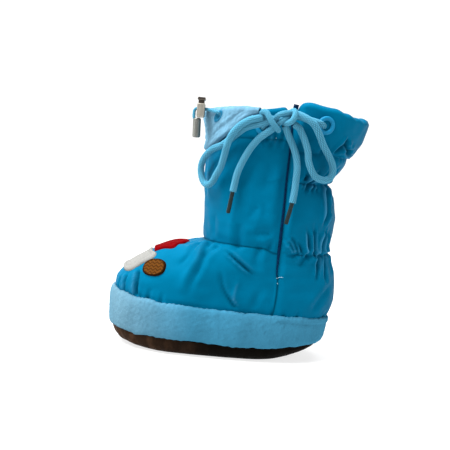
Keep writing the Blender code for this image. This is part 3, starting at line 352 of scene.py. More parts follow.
def pchip(at, knots, values):
    """Smooth curve through knots and values that never overshoots them: cubic pieces whose slopes are
    harmonic means of the slopes beside each knot."""
    knots = np.asarray(knots, float)
    values = np.asarray(values, float)
    step = np.diff(knots)
    slope = np.diff(values) / step
    tangent = np.zeros_like(values)
    same = slope[:-1] * slope[1:] > 0
    weight_a = 2 * step[1:] + step[:-1]
    weight_b = step[1:] + 2 * step[:-1]
    safe_a = np.where(same, slope[:-1], 1.0)
    safe_b = np.where(same, slope[1:], 1.0)
    middle = (weight_a + weight_b) / (weight_a / safe_a + weight_b / safe_b)
    tangent[1:-1] = np.where(same, middle, 0.0)
    tangent[0] = slope[0]
    tangent[-1] = slope[-1]
    at = np.clip(np.asarray(at, float), knots[0], knots[-1])
    cell = np.clip(np.searchsorted(knots, at, side="right") - 1, 0, len(step) - 1)
    h = step[cell]
    t = (at - knots[cell]) / h
    return (
        values[cell] * (1 + 2 * t) * (1 - t) ** 2
        + tangent[cell] * h * t * (1 - t) ** 2
        + values[cell + 1] * t * t * (3 - 2 * t)
        + tangent[cell + 1] * h * t * t * (t - 1)
    )


def ease(low, high, value):
    """0 at low and beyond, 1 at high and beyond, smooth between."""
    t = np.clip((np.asarray(value, float) - low) / (high - low), 0.0, 1.0)
    return t * t * (3 - 2 * t)


def bell(value, width):
    """Bell curve: 1 at zero, falling away over a width."""
    return np.exp(-((value / width) ** 2))


def unit(vectors):
    """Vectors made one long."""
    return vectors / np.maximum(np.linalg.norm(vectors, axis=-1, keepdims=True), 1e-12)


def run_along(line):
    """Distance of each point of a line from its first, measured along the line."""
    return np.concatenate([[0.0], np.cumsum(np.linalg.norm(np.diff(line, axis=0), axis=1))])


def spaced(line, density, count):
    """Places on a line that lie closer together where the density is high."""
    run = np.concatenate([[0.0], np.cumsum(0.5 * (density[1:] + density[:-1]))])
    return np.interp(np.linspace(0.0, run[-1], count), run, line)


def half_share(share):
    """0 at the heel, 0.5 at a side seam and 1 at the front, alike on both sides."""
    share = np.mod(share, 1.0)
    return np.where(share > 0.5, 2.0 * (1.0 - share), 2.0 * share)


def from_heel(share):
    """Share of the ring between a place and the heel: 0.25 at a side seam, 0.5 at the front."""
    return np.abs(np.mod(share + 0.5, 1.0) - 0.5)


def on_back(share, fade=0.02):
    """1 on the back panels, fading to 0 at the side seams."""
    return ease(0.0, fade, 0.25 - from_heel(share))


def on_front(share):
    """True on vamp and shaft front, between the side seams."""
    return from_heel(share) > 0.25


SECTION_HEIGHTS = [row.rise * INSTEP_HEIGHT for row in FOOT] + [
    INSTEP_HEIGHT + row.rise * (COLLAR_HEIGHT - INSTEP_HEIGHT) for row in SHAFT
]
FORM_LOW = SECTION_HEIGHTS[0]
FORM_ROWS = 330
FORM_COLUMNS = 720
FORM_STEP = (COLLAR_HEIGHT - FORM_LOW) / (FORM_ROWS - 1)


def last_grid():
    """Points of the last on even rows of height and columns of share.

    A ring is two half super-ellipses that meet at the widest place, and its columns run evenly along the
    ring's length from heel to side seam and from there to the front.
    """
    heights = FORM_LOW + FORM_STEP * np.arange(FORM_ROWS)
    column = {
        name: pchip(heights, SECTION_HEIGHTS, [getattr(row, name) for row in FOOT + SHAFT])
        for name in Section._fields[1:]
    }
    share = np.linspace(0.0, 1.0, FORM_COLUMNS + 1)
    half = half_share(share)
    angle = np.linspace(0.0, PI, 481)
    c = np.cos(angle)
    s = np.sin(angle)
    rows = []
    for i, height in enumerate(heights):
        power = 2.0 / np.where(c < 0, column["toe_round"][i], column["heel_round"][i])
        toe = column["widest"][i] + column["toe"][i]
        heel = column["heel"][i] - column["widest"][i]
        reach = LENGTH * np.where(c < 0, toe, heel)
        ring_x = LENGTH * column["widest"][i] + reach * np.sign(c) * np.abs(c) ** power
        ring_y = 0.5 * BALL_WIDTH * column["width"][i] * s**power
        run = run_along(np.stack([ring_x, ring_y], axis=-1))
        seam = np.interp(-SEAM_X, -ring_x, run)
        want = np.interp(half, (0.0, 0.5, 1.0), (0.0, seam, run[-1]))
        x = np.interp(want, run, ring_x)
        y = np.interp(want, run, ring_y) * np.where(share > 0.5, -1.0, 1.0)
        y = y + TOE_IN * np.clip((-x - 10.0) / 52.0, 0.0, 1.0) ** 2
        rows.append(np.stack([x, y, np.full_like(x, height)], axis=-1))
    return np.array(rows)


def grid_normals(points):
    """Outward unit normals of a grid whose columns close round the boot."""
    wrapped = np.concatenate([points[:, -3:-1], points, points[:, 1:3]], axis=1)
    along = np.gradient(wrapped, axis=1)[:, 2:-2]
    up = np.gradient(points, axis=0)
    return unit(np.cross(along, up))


def last_normals(points):
    """Normals of the last; on the back's drawn-in waists they lie level, so filling there keeps its order."""
    normals = grid_normals(points)
    height = points[:, :1, 2]
    share = np.linspace(0.0, 1.0, points.shape[1])[None, :]
    level = ease(56.0, 61.0, height) * ease(122.0, 114.0, height) * on_back(share, 0.03)
    normals[..., 2] *= 1.0 - 0.9 * level
    return unit(normals)


LAST = last_grid()
LAST_NORMAL = last_normals(LAST)


def sample(grid, height, share):
    """Value of a grid between its rows and columns, by straight weights of the four nearest points."""
    row = np.clip((np.asarray(height, float) - FORM_LOW) / FORM_STEP, 0.0, FORM_ROWS - 1.001)
    column = np.mod(np.asarray(share, float), 1.0) * FORM_COLUMNS
    row, column = np.broadcast_arrays(row, column)
    i = row.astype(int)
    j = np.minimum(column.astype(int), FORM_COLUMNS - 1)
    a = (row - i)[..., None]
    b = (column - j)[..., None]
    low = grid[i, j] * (1 - b) + grid[i, j + 1] * b
    high = grid[i + 1, j] * (1 - b) + grid[i + 1, j + 1] * b
    return low * (1 - a) + high * a


def band_top(share):
    """Height of the foot band's upper edge, highest over the toe."""
    return pchip(half_share(share), (0.0, 0.35, 0.6, 0.85, 1.0), (26.0, 27.6, 28.4, 30.6, 33.4))


def band_low(share):
    """Height of the foot band's lower edge: raised at toe and heel, lowest beside the arch."""
    knots = (0.0, 0.2, 0.36, 0.55, 0.72, 0.86, 1.0)
    return pchip(half_share(share), knots, (11.4, 10.7, 9.3, 8.0, 9.0, 9.5, 11.0))


def spring(x):
    """Rise of the sole's underside towards toe and heel."""
    toe = np.clip((TOE_SPRING_FROM - x) / TOE_SPRING_RUN, 0.0, 1.0)
    heel = np.clip((x - HEEL_SPRING_FROM) / HEEL_SPRING_RUN, 0.0, 1.0)
    return TOE_SPRING * toe**2 + HEEL_SPRING * heel**2


def seam_distance(share):
    """Share of half the ring between a place and the side seam of its side."""
    return np.abs(half_share(share) - 0.5)


def padding(height, share, valley=1.0):
    """Rise of the filling over the last: full between seams, none on a seam; valley 0 fills side seams."""
    height, share = np.broadcast_arrays(np.asarray(height, float), np.asarray(share, float))
    front = on_front(share)
    rise = np.zeros(height.shape)
    drop = band_top(share) - 27.5
    for panels, here in ((FRONT_PANELS, front), (BACK_PANELS, ~front)):
        for number, panel in enumerate(panels):
            low = panel.low + (drop - 1.5 if number == 0 else 0.0)
            v = np.clip((height - low) / (panel.high - low), 0.0, 1.0)
            rise += here * panel.rise * (4.0 * v * (1.0 - v)) ** panel.fullness
    return rise * (1.0 - valley * (1.0 - ease(0.006, 0.05, seam_distance(share))))


def collar_move(height, share):
    """Lift and inward draw of the collar: higher behind the zip, dipped at zip and front."""
    share = np.mod(share, 1.0)
    top = np.clip((np.asarray(height, float) - 118.0) / 22.0, 0.0, 1.0)
    lift = sum(move.lift * bell(share - move.place, move.spread) for move in COLLAR_LIFTS)
    return lift * top, 3.5 * bell(share - 0.75, 0.05) * top


def last_point(height, share, out):
    """Point at a distance out from the last, with the collar's own moves."""
    height, share = np.broadcast_arrays(np.asarray(height, float), np.asarray(share, float))
    lift, inward = collar_move(height, share)
    point = sample(LAST, height, share)
    point = point + sample(LAST_NORMAL, height, share) * (out - inward)[..., None]
    point[..., 2] += lift
    return point


def ripples(points, length, seed, count=14):
    """Even noise from -1 to 1: waves about one length long, in seeded directions, added up."""
    draw = np.random.default_rng(seed)
    way = unit(draw.normal(size=(count, 3))) * (2 * PI / (length * draw.uniform(0.7, 1.4, (count, 1))))
    phase = draw.uniform(0, 2 * PI, count)
    total = np.zeros(points.shape[:-1])
    for direction, start in zip(way, phase):
        total += np.sin(points @ direction + start)
    return total / np.sqrt(2.0 * count)


def smooth_route(route, spacing):
    """Points at even spacing on a smooth cubic curve through a route's own points."""
    route = np.asarray(route, float)
    ends = np.concatenate([[2 * route[0] - route[1]], route, [2 * route[-1] - route[-2]]])
    t = np.linspace(0.0, 1.0, 24, endpoint=False)[:, None]
    spans = []
    for a, b, c, d in zip(ends[:-3], ends[1:-2], ends[2:-1], ends[3:]):
        bend = t * t * (a - 2.5 * b + 2.0 * c - 0.5 * d)
        twist = t * t * t * (-0.5 * a + 1.5 * b - 1.5 * c + 0.5 * d)
        spans.append(b + 0.5 * t * (c - a) + bend + twist)
    curve = np.concatenate(spans + [route[-1:]])
    run = run_along(curve)
    want = np.linspace(0.0, run[-1], max(2, int(round(run[-1] / spacing)) + 1))
    return np.stack([np.interp(want, run, curve[:, k]) for k in range(route.shape[1])], axis=1)


def all_creases():
    """Every crease of the upper: the charted ones, then puckers and gathers turned into short folds."""
    found = list(VAMP_CREASES + SHAFT_CREASES + BACK_CREASES)
    for row in map(Pucker._make, BAND_PUCKERS):
        low = float(band_top(row.round / 100.0)) - 1.0
        route = ((row.round, low), (row.round + 0.15, row.top))
        found.append(Crease(row.depth, 1.4, 0.0, 1.0, 0.0, route))
    for seam, rows in GATHERS.items():
        for row in map(Gather._make, rows):
            middle = (row.round + 0.4 * row.slant, seam + 0.5 * row.reach)
            end = (row.round + row.slant, seam + row.reach)
            depth = row.depth * (1.0 - 0.55 * bell(row.round - 97.5, 4.5))
            found.append(Crease(depth, 1.4, 0.3 * row.slant, 1.0, 0.05, ((row.round, seam), middle, end)))
    return found


def folds(points, normals):
    """Move of each point along its normal from all creases, with the painted shade lines and painted
    highlight lines they draw.

    A crease is a bell-shaped trough across its route with a soft lip on each side. Its weight runs from
    the near to the far end, and fades out at an end that no seam holds. The dark line, painted shade, is a
    narrow bell on a trough; the light line, a painted highlight, is one on a ridge and on a trough's fuller
    lip.
    """
    flat = points.reshape(-1, 3)
    facing = normals.reshape(-1, 3)
    move, dark, light = np.zeros((3, len(flat)))
    for crease in all_creases():
        places = np.asarray(crease.route, float)
        route = smooth_route(last_point(places[:, 1], places[:, 0] / 100.0, 0.0), CREASE_STEP)
        middle = route.mean(axis=0)
        reach = np.linalg.norm(route - middle, axis=1).max() + 4.5 * crease.width
        here = np.flatnonzero(np.linalg.norm(flat - middle, axis=1) < reach)
        apart = flat[here][:, None, :] - route[None]
        near = np.argmin((apart**2).sum(axis=-1), axis=1)
        offset = apart[np.arange(len(here)), near]
        way = unit(np.gradient(route, axis=0))[near]
        beside = (offset * unit(np.cross(way, facing[here]))).sum(axis=-1)
        ahead = (offset * way).sum(axis=-1)
        past = np.maximum(np.abs(ahead) - CREASE_STEP, 0.0) * ((near == 0) | (near == len(route) - 1))
        across = beside / crease.width
        along = np.clip((near + ahead / CREASE_STEP) / (len(route) - 1.0), 0.0, 1.0)
        weight = (crease.near + (crease.far - crease.near) * along) * bell(past, crease.width)
        if crease.near < 1.0:
            weight = weight * (0.2 + 0.8 * ease(0.0, 0.25, along))
        if crease.far < 1.0:
            weight = weight * ease(0.0, 0.35, 1.0 - along)
        lip_a = (1 + crease.lean) * bell(across - 1.75, 1.0)
        lip_b = (1 - crease.lean) * bell(across + 1.75, 1.0)
        lips = 0.4 * (lip_a + lip_b) if crease.depth > 0 else 0.0
        size = crease.depth * weight
        crisp = np.clip(1.9 / crease.width - 0.55, 0.12, 1.0)
        move[here] += size * (lips - 0.7 * bell(across, 1.0) - 0.3 * bell(across, 0.5))
        # Dark: painted shade along a trough. Light: painted highlight on a ridge or on a trough's lip.
        if crease.depth > 0:
            dark[here] += crisp * size * bell(across, 0.7)
            light[here] += 0.4 * crisp * size * bell(across - np.where(crease.lean < 0, -1.5, 1.5), 0.5)
        else:
            light[here] -= crisp * size * bell(across, 0.6)
    return np.stack([move, dark, light], axis=-1).reshape(points.shape[:-1] + (3,))


def eased_steps(low, high, count, places, tightness, spread):
    """Steps from low to high that lie closer together round some places."""
    line = np.linspace(low, high, 4001)
    density = 1.0 + sum(tightness * bell(line - place, spread) for place in places)
    return spaced(line, density, count)


def mesh_object(name, vertices, faces, looks, tags=None, turn=True):
    """Mesh object at the origin from points in millimetres and lists of corners; closed shells face out."""
    data = bpy.data.meshes.new(name)
    data.from_pydata((np.asarray(vertices, float) * MM).tolist(), [], faces)
    if turn:
        shell = bmesh.new()
        shell.from_mesh(data)
        if shell.calc_volume(signed=True) < 0:
            bmesh.ops.reverse_faces(shell, faces=shell.faces)
        shell.to_mesh(data)
        shell.free()
    for look in looks:
        data.materials.append(look)
    data.polygons.foreach_set("use_smooth", np.ones(len(data.polygons), bool))
    for tag, values in (tags or {}).items():
        layer = data.attributes.new(tag, "FLOAT", "POINT")
        layer.data.foreach_set("value", np.asarray(values, np.float32).ravel())
    data.update()
    made = bpy.data.objects.new(name, data)
    bpy.context.scene.collection.objects.link(made)
    return made


def grid_faces(rows, columns, loop_rows, loop_columns, start=0):
    """Corners of the quads of a grid of points, row after row."""
    i = np.arange(rows if loop_rows else rows - 1)[:, None]
    j = np.arange(columns if loop_columns else columns - 1)[None, :]
    i2 = (i + 1) % rows
    j2 = (j + 1) % columns
    quads = np.stack([i * columns + j, i * columns + j2, i2 * columns + j2, i2 * columns + j], axis=-1)
    return (quads.reshape(-1, 4) + start).tolist()


def capped_faces(rows, columns, start=0):
    """Corners of a grid that closes round, with a flat cap on its first and on its last row."""
    first = start + np.arange(columns)
    last = first + (rows - 1) * columns
    return grid_faces(rows, columns, False, True, start) + [first[::-1].tolist(), last.tolist()]


def lofted(name, points, looks, ring=False, tags=None):
    """Closed surface through rows of points that close round; a ring joins its last row to its first."""
    rows, columns, _ = points.shape
    faces = grid_faces(rows, columns, True, True) if ring else capped_faces(rows, columns)
    return mesh_object(name, points.reshape(-1, 3), faces, looks, tags=tags)


def joined(name, tubes, look, tags=None):
    """One mesh from several tubes with flat ends."""
    faces = []
    start = 0
    for points in tubes:
        rows, columns, _ = points.shape
        faces += capped_faces(rows, columns, start)
        start += rows * columns
    return mesh_object(name, np.concatenate([t.reshape(-1, 3) for t in tubes]), faces, (look,), tags=tags)


def tube_points(route, profile, spacing, around=30):
    """Points of a tube round a smooth route, rows along it and columns round it.

    profile(run, turn) gives the radius. The side vectors are carried from point to point without twist.
    """
    line = smooth_route(route, spacing)
    way = unit(np.gradient(line, axis=0))
    side = np.zeros_like(line)
    guess = np.array([0.0, 0.0, 1.0]) if abs(way[0][2]) < 0.9 else np.array([1.0, 0.0, 0.0])
    side[0] = unit(np.cross(way[0], guess))
    for i in range(1, len(line)):
        side[i] = unit(side[i - 1] - way[i] * (side[i - 1] @ way[i]))
    other = np.cross(way, side)
    run = run_along(line)
    turn = np.linspace(0.0, 2 * PI, around, endpoint=False)
    radius = np.broadcast_to(profile(run[:, None], turn[None, :]), (len(run), around))
    ring = np.cos(turn)[None, :, None] * side[:, None, :] + np.sin(turn)[None, :, None] * other[:, None, :]
    return line[:, None, :] + radius[..., None] * ring, run, turn


def dressed(piece, node, body=BODY):
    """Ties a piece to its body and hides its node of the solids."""
    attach(piece, body)
    nodes = (node,) if isinstance(node, str) else node
    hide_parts(*nodes)
    return piece


class Finish:
    """Builds one material: a Principled shader with helpers for noise, mixes and bump."""

    def __init__(self, name, colour, roughness, **sockets):
        self.made = bpy.data.materials.new(name)
        self.made.use_nodes = True
        self.tree = self.made.node_tree
        self.shader = self.tree.nodes["Principled BSDF"]
        self.shader.inputs["Base Color"].default_value = (*colour, 1.0)
        self.shader.inputs["Roughness"].default_value = roughness
        for socket, value in sockets.items():
            self.shader.inputs[socket.replace("_", " ")].default_value = value
        self.made.diffuse_color = (*colour, 1.0)
        self.last_bump = None
        self.place = self.tree.nodes.new("ShaderNodeTexCoord").outputs["Object"]

    def node(self, kind, **values):
        """New node with its own settings or its inputs set."""
        made = self.tree.nodes.new(kind)
        for key, value in values.items():
            if hasattr(made, key):
                setattr(made, key, value)
            else:
                made.inputs[key.replace("_", " ")].default_value = value
        return made

    def join(self, out, into):
        self.tree.links.new(out, into)

    def stretched(self, scale):
        """Object coordinates scaled along each axis, for drawn-out noise."""
        mapping = self.node("ShaderNodeMapping", Scale=scale)
        self.join(self.place, mapping.inputs["Vector"])
        return mapping.outputs["Vector"]

    def noise(self, scale, detail=3.0, rough=0.55, place=None):
        made = self.node("ShaderNodeTexNoise", Scale=scale, Detail=detail, Roughness=rough)
        self.join(place or self.place, made.inputs["Vector"])
        return made.outputs["Fac"]

    def cells(self, scale, place=None):
        made = self.node("ShaderNodeTexVoronoi", Scale=scale)
        self.join(place or self.place, made.inputs["Vector"])
        return made.outputs["Distance"]

    def tag(self, name):
        """Value that the mesh carries at its points."""
        return self.node("ShaderNodeAttribute", attribute_name=name).outputs["Fac"]

    def span(self, value, low, high, start, end):
        """Value mapped from one range to another."""
        made = self.node("ShaderNodeMapRange")
        for socket, number in zip(("From Min", "From Max", "To Min", "To Max"), (low, high, start, end)):
            made.inputs[socket].default_value = number
        self.join(value, made.inputs["Value"])
        return made.outputs["Result"]

    def even(self, value):
        """Noise spread from its usual middle range over 0 to 1."""
        return self.span(value, 0.3, 0.7, 0.0, 1.0)

    def length(self):
        """Place along the boot in metres, from the heel's plus to the toe's minus."""
        made = self.node("ShaderNodeSeparateXYZ")
        self.join(self.place, made.inputs["Vector"])
        return made.outputs["X"]

    def mixed(self, share, first, second):
        """Colour between two others, which are values or sockets, by a share that is either too."""
        made = self.node("ShaderNodeMix", data_type="RGBA")
        for socket, value in (("A", first), ("B", second)):
            into = next(i for i in made.inputs if i.name == socket and i.type == "RGBA")
            if isinstance(value, bpy.types.NodeSocket):
                self.join(value, into)
            else:
                into.default_value = (*value, 1.0)
        into = next(i for i in made.inputs if i.name == "Factor" and i.type == "VALUE")
        if isinstance(share, float):
            into.default_value = share
        else:
            self.join(share, into)
        return next(o for o in made.outputs if o.type == "RGBA")

    def colour(self, value):
        self.join(value, self.shader.inputs["Base Color"])

    def rough(self, value):
        self.join(value, self.shader.inputs["Roughness"])

    def bump(self, value, strength, distance):
        """Relief over the bumps set before."""
        made = self.node("ShaderNodeBump", Strength=strength, Distance=distance)
        self.join(value, made.inputs["Height"])
        if self.last_bump is not None:
            self.join(self.last_bump, made.inputs["Normal"])
        self.last_bump = made.outputs["Normal"]
        self.join(self.last_bump, self.shader.inputs["Normal"])
        return self


def tinted(colour, factor):
    """A colour made darker or lighter."""
    return tuple(min(1.0, factor * part) for part in colour)


def nylon_look(colour):
    """Smooth padded nylon: fine weave, little gloss, dark stitch lines, painted shade in seams and creases,
    painted ridge highlights.
    """
    blue = (0.0, 0.45, 0.8, 1.0)
    look = Finish("nylon", colour, 0.5, Specular_IOR_Level=0.03, Specular_Tint=blue)
    tone = look.even(look.noise(60.0, 2.0))
    patchy = look.mixed(tone, tinted(colour, 0.93), tinted(colour, 1.07))
    # Painted highlight: the ridge tag lightens the fold ridges and lips.
    ridge_highlight = look.mixed(look.tag("ridge"), patchy, (0.03, 1.75 * colour[1], 1.6 * colour[2]))
    # Painted shade: the trough tag darkens the fold troughs.
    crease_shade = look.mixed(look.tag("trough"), ridge_highlight, tinted(colour, 0.45))
    # Dark stitch lines, partly painted shade in the seam grooves.
    look.colour(look.mixed(look.tag("seam"), crease_shade, tinted(colour, 0.2)))
    look.rough(look.span(look.noise(220.0, 3.0), 0.3, 0.7, 0.46, 0.58))
    weave_a = look.noise(2600.0, 1.0, 0.5, look.stretched((1.0, 1.0, 0.35)))
    weave_b = look.noise(2600.0, 1.0, 0.5, look.stretched((0.35, 0.35, 1.0)))
    look.bump(look.noise(240.0, 4.0), 0.10, 0.0008)
    look.bump(weave_a, 0.10, 0.0002).bump(weave_b, 0.10, 0.0002)
    return look.made


def nap_look(name, colour, tuft, strength, toe=None, trim=None):
    """Brushed pile: soft sheen, patches where the nap lies the other way and fine tufts.

    A toe colour, painted light on the lit toe, fades in from the heel to the toe. A trim colour shows where
    the trim tag is high.
    """
    tint = (*tinted(colour, 1.5), 1.0)
    look = Finish(name, colour, 0.95, Sheen_Weight=0.3, Sheen_Roughness=0.55, Sheen_Tint=tint,
                  Specular_IOR_Level=0.03)
    lie = look.even(look.noise(110.0, 4.0, 0.6, look.stretched((1.0, 1.0, 0.45))))
    pile = look.span(look.noise(tuft, 3.0, 0.65), 0.3, 0.72, 0.0, 1.0)
    lain = look.mixed(lie, tinted(colour, 0.86), tinted(colour, 1.14))
    if toe:
        streak = look.noise(230.0, 3.0, 0.6, look.stretched((1.0, 1.0, 0.12)))
        pale = look.mixed(look.span(streak, 0.36, 0.64, 0.0, 1.0), tinted(toe, 0.92), tinted(toe, 1.08))
        # Painted light: the lighter toe colour fades in towards the toe.
        lain = look.mixed(look.span(look.length(), -0.014, -0.060, 0.0, 1.0), lain, pale)
    if trim:
        lain = look.mixed(look.tag("trim"), lain, trim)
    look.colour(look.mixed(pile, look.mixed(0.22, lain, tinted(colour, 0.6)), lain))
    look.bump(look.noise(0.35 * tuft, 3.0), 0.25 * strength, 0.001)
    look.bump(look.noise(tuft, 3.0, 0.7), strength, 0.0006)
    return look.made


def sole_look(colour):
    """Dark leather-like sole: pebbled grain, dull gloss, and a painted highlight that makes it lighter and
    browner towards the toe.
    """
    look = Finish("sole leather", colour, 0.6, Specular_IOR_Level=0.015)
    # Painted highlight: lighter, browner colour towards the lit toe.
    toe = look.span(look.length(), -0.002, -0.045, 0.0, 1.0)
    upright = look.noise(150.0, 4.0, 0.6, look.stretched((1.0, 1.0, 0.12)))
    base = look.mixed(toe, colour, (14.5 * colour[0], 10.2 * colour[1], 7.6 * colour[2]))
    streak = look.mixed(0.6, base, tinted(colour, 0.6))
    look.colour(look.mixed(look.span(upright, 0.42, 0.62, 0.0, 1.0), streak, base))
    look.rough(look.span(look.noise(160.0, 4.0), 0.3, 0.7, 0.42, 0.66))
    look.bump(look.cells(620.0), 0.3, 0.0005).bump(upright, 0.4, 0.0014)
    return look.made


def cord_look(name, colour):
    """Braided cord: painted shade in the gaps between raised yarns, fine fibre bump."""
    tint = (*tinted(colour, 1.5), 1.0)
    look = Finish(name, colour, 0.88, Sheen_Weight=0.1, Sheen_Roughness=0.5, Sheen_Tint=tint,
                  Specular_IOR_Level=0.03)
    tone = look.even(look.noise(140.0, 3.0))
    soft = look.mixed(tone, tinted(colour, 0.94), tinted(colour, 1.06))
    # Painted shade: the gaps between the yarns are darkened.
    look.colour(look.mixed(look.tag("braid_shading"), tinted(colour, 0.25), soft))
    look.bump(look.noise(2200.0, 2.0), 0.25, 0.0003)
    return look.made


def metal_look(name, colour, roughness, brushed):
    """Satin metal with fine upright brushing and faint smudges."""
    look = Finish(name, colour, roughness, Metallic=0.75)
    lines = look.noise(900.0, 3.0, 0.6, look.stretched((1.0, 1.0, 0.06)))
    look.colour(look.mixed(look.even(lines), tinted(colour, 0.75), tinted(colour, 1.2)))
    look.rough(look.span(look.noise(300.0, 3.0), 0.3, 0.7, roughness - 0.08, roughness + 0.1))
    look.bump(lines, brushed, 0.0003)
    return look.made


def plastic_look(name, colour, roughness):
    """Moulded plastic with a faint mottle."""
    look = Finish(name, colour, roughness, Specular_IOR_Level=0.1)
    tone = look.even(look.noise(200.0, 3.0))
    look.colour(look.mixed(tone, tinted(colour, 0.9), tinted(colour, 1.1)))
    look.bump(look.noise(500.0, 3.0), 0.08, 0.0005)
    return look.made


def zip_look(colour):
    """Dull woven tape and coil of the zip."""
    look = Finish("zip coil", colour, 0.85, Specular_IOR_Level=0.06)
    tone = look.even(look.noise(700.0, 2.0))
    look.colour(look.mixed(tone, tinted(colour, 0.7), tinted(colour, 1.3)))
    look.bump(look.noise(1500.0, 2.0), 0.15, 0.0003)
    return look.made


def stitch_look(name, colour, dark):
    """Closely stitched patch: threads run across it, and darker rows where the tag marks them."""
    look = Finish(name, colour, 0.8, Specular_IOR_Level=0.015)
    lines = look.noise(1500.0, 2.0, 0.6, look.stretched((1.0, 0.25, 0.6)))
    thread = look.mixed(look.even(lines), tinted(colour, 0.86), tinted(colour, 1.1))
    look.colour(look.mixed(look.tag("row"), thread, dark))
    look.bump(lines, 0.3, 0.0004)
    return look.made


def thread_look(colour):
    """Plain sewing thread."""
    look = Finish("thread", colour, 0.7)
    tone = look.even(look.noise(900.0, 2.0))
    look.colour(look.mixed(tone, tinted(colour, 0.85), colour))
    look.bump(look.noise(3000.0, 2.0), 0.2, 0.0002)
    return look.made


def colour_property(label, told, value):
    return bpy.props.FloatVectorProperty(
        name=label, description=told, default=value, subtype="COLOR", size=3, min=0.0, max=1.0
    )


class BootieColours(bpy.types.PropertyGroup):
    """Colours of the cloth and fittings."""

    nylon: colour_property("Nylon", "Blue of the padded upper", (0.0, 0.108, 0.208))
    velour: colour_property("Velour", "Light blue of the foot band", (0.036, 0.182, 0.292))
    # The lighter velour toe colour is painted light on the lit toe.
    velour_lit_toe: colour_property("Velour toe", "Rubbed, lighter velour at the toe", (0.112, 0.210, 0.268))
    fleece: colour_property("Fleece", "Light blue of cuff, lining and insole", (0.113, 0.250, 0.352))
    sole: colour_property("Sole", "Dark brown of the sole", (0.0036, 0.0026, 0.0019))
    cord: colour_property("Cord", "Blue of the drawcord", (0.092, 0.368, 0.545))
    zip: colour_property("Zip", "Navy of the zip", (0.0, 0.016, 0.052))
    eyelet: colour_property("Eyelet", "Blue of the eyelets", (0.004, 0.175, 0.34))
    tip: colour_property("Tips", "Grey of the cord tips", (0.012, 0.020, 0.020))
    barrel: colour_property("Barrel", "Warm grey of the cord lock", (0.35, 0.33, 0.28))
    plunger: colour_property("Plunger", "Dark polish of the lock's plunger", (0.10, 0.085, 0.07))
    sleeve: colour_property("Sleeve", "Grey of the thin cord's end", (0.19, 0.195, 0.178))
    red: colour_property("Red", "Red of the mitten patch", (0.130, 0.0003, 0.0015))
    white: colour_property("White", "White of the mitten's cuff", (0.21, 0.21, 0.20))
    brown: colour_property("Brown", "Brown of the cone patch", (0.093, 0.033, 0.0056))
    thread: colour_property("Thread", "Pale sewing thread", (0.30, 0.50, 0.60))


def size_property(label, told, value, most):
    return bpy.props.FloatProperty(name=label, description=told, default=value, min=0.0, max=most)


class BootieSizes(bpy.types.PropertyGroup):
    """Sizes that change how soft and worn the bootie looks."""

    fold: size_property("Folds", "Depth of the creases, as a multiple of the charted one", 1.5, 2.0)
    nap: size_property("Nap", "Height of fleece and velour tufts in millimetres", 0.22, 1.0)
    braid: size_property("Braid", "Relief of the cord's yarns in millimetres", 0.17, 0.4)


def colours():
    return bpy.context.scene.bootie_colours


def sizes():
    return bpy.context.scene.bootie_sizes


UPPER = {}


def upper_grid():
    """The upper's outside on the last's own rows and columns, made once: filling, folds and ripples."""
    if "points" not in UPPER:
        height = (FORM_LOW + FORM_STEP * np.arange(FORM_ROWS))[:, None]
        share = np.linspace(0.0, 1.0, FORM_COLUMNS + 1)[None, :]
        fill = padding(height, share, 0.35 + 0.65 * ease(46.0, 56.0, height))
        plain = last_point(height, share, fill)
        normal = grid_normals(plain)
        calm = ease(0.0, 0.035, seam_distance(share)) * np.ones_like(height)
        held = bell(height - ANKLE_ELASTIC - 0.3, 1.3) + bell(height - WAIST_ELASTIC, 1.3)
        free = (0.15 + 0.85 * calm) * (1.0 - 0.6 * held * ~on_front(share))
        drawn = folds(plain, normal) * (sizes().fold * free)[..., None]
        soft = 0.45 * ripples(plain, 26.0, 5) + 0.18 * ripples(plain, 9.0, 6)
        soft = soft * np.minimum(fill, 1.0) + scallops(height, share, plain)
        out = fill + bridges(height, share) + drawn[..., 0] + soft * calm
        out = np.logaddexp(0.0, 2.5 * (out + DEEPEST)) / 2.5 - DEEPEST
        UPPER["points"] = last_point(height, share, out)
        UPPER["normal"] = grid_normals(UPPER["points"])
        UPPER["lines"] = drawn[..., 1:]
    return UPPER["points"], UPPER["normal"]


def bridges(height, share):
    """Cloth that bunches over the back's two elastics, and a dip before the ankle seam."""
    ankle = bell(height - ANKLE_ELASTIC - 0.5, 3.6)
    waist = 1.2 * bell(height - WAIST_ELASTIC + 0.1, 3.0)
    return on_back(share) * (ankle + waist) - 1.5 * bell(height - 62.6, 2.2) * bell(share - 0.5, 0.07)


def scallops(height, share, points):
    """Small tight puckers beside the back's elastics and the front casing, a few millimetres apart."""
    back = on_back(share)
    lines = (
        (ANKLE_ELASTIC, back, 3.2),
        (WAIST_ELASTIC, back, 3.0),
        (BACK_CASING, back, 2.4),
        (FRONT_CASING, 1.0 - back, 2.2),
    )
    upright = points * (1.0, 1.0, 0.15)
    wave = 0.32 * (ripples(upright, 3.4, 8) + 0.6 * ripples(upright, 2.3, 9))
    return sum(wave * bell(height - line, reach) * here for line, here, reach in lines)


def on_upper(height, share, lift=0.0):
    """Point on the dressed upper, lifted off it along its normal."""
    points, normal = upper_grid()
    lift = np.broadcast_to(lift, np.broadcast(np.asarray(height), np.asarray(share)).shape)
    return sample(points, height, share) + unit(sample(normal, height, share)) * lift[..., None]


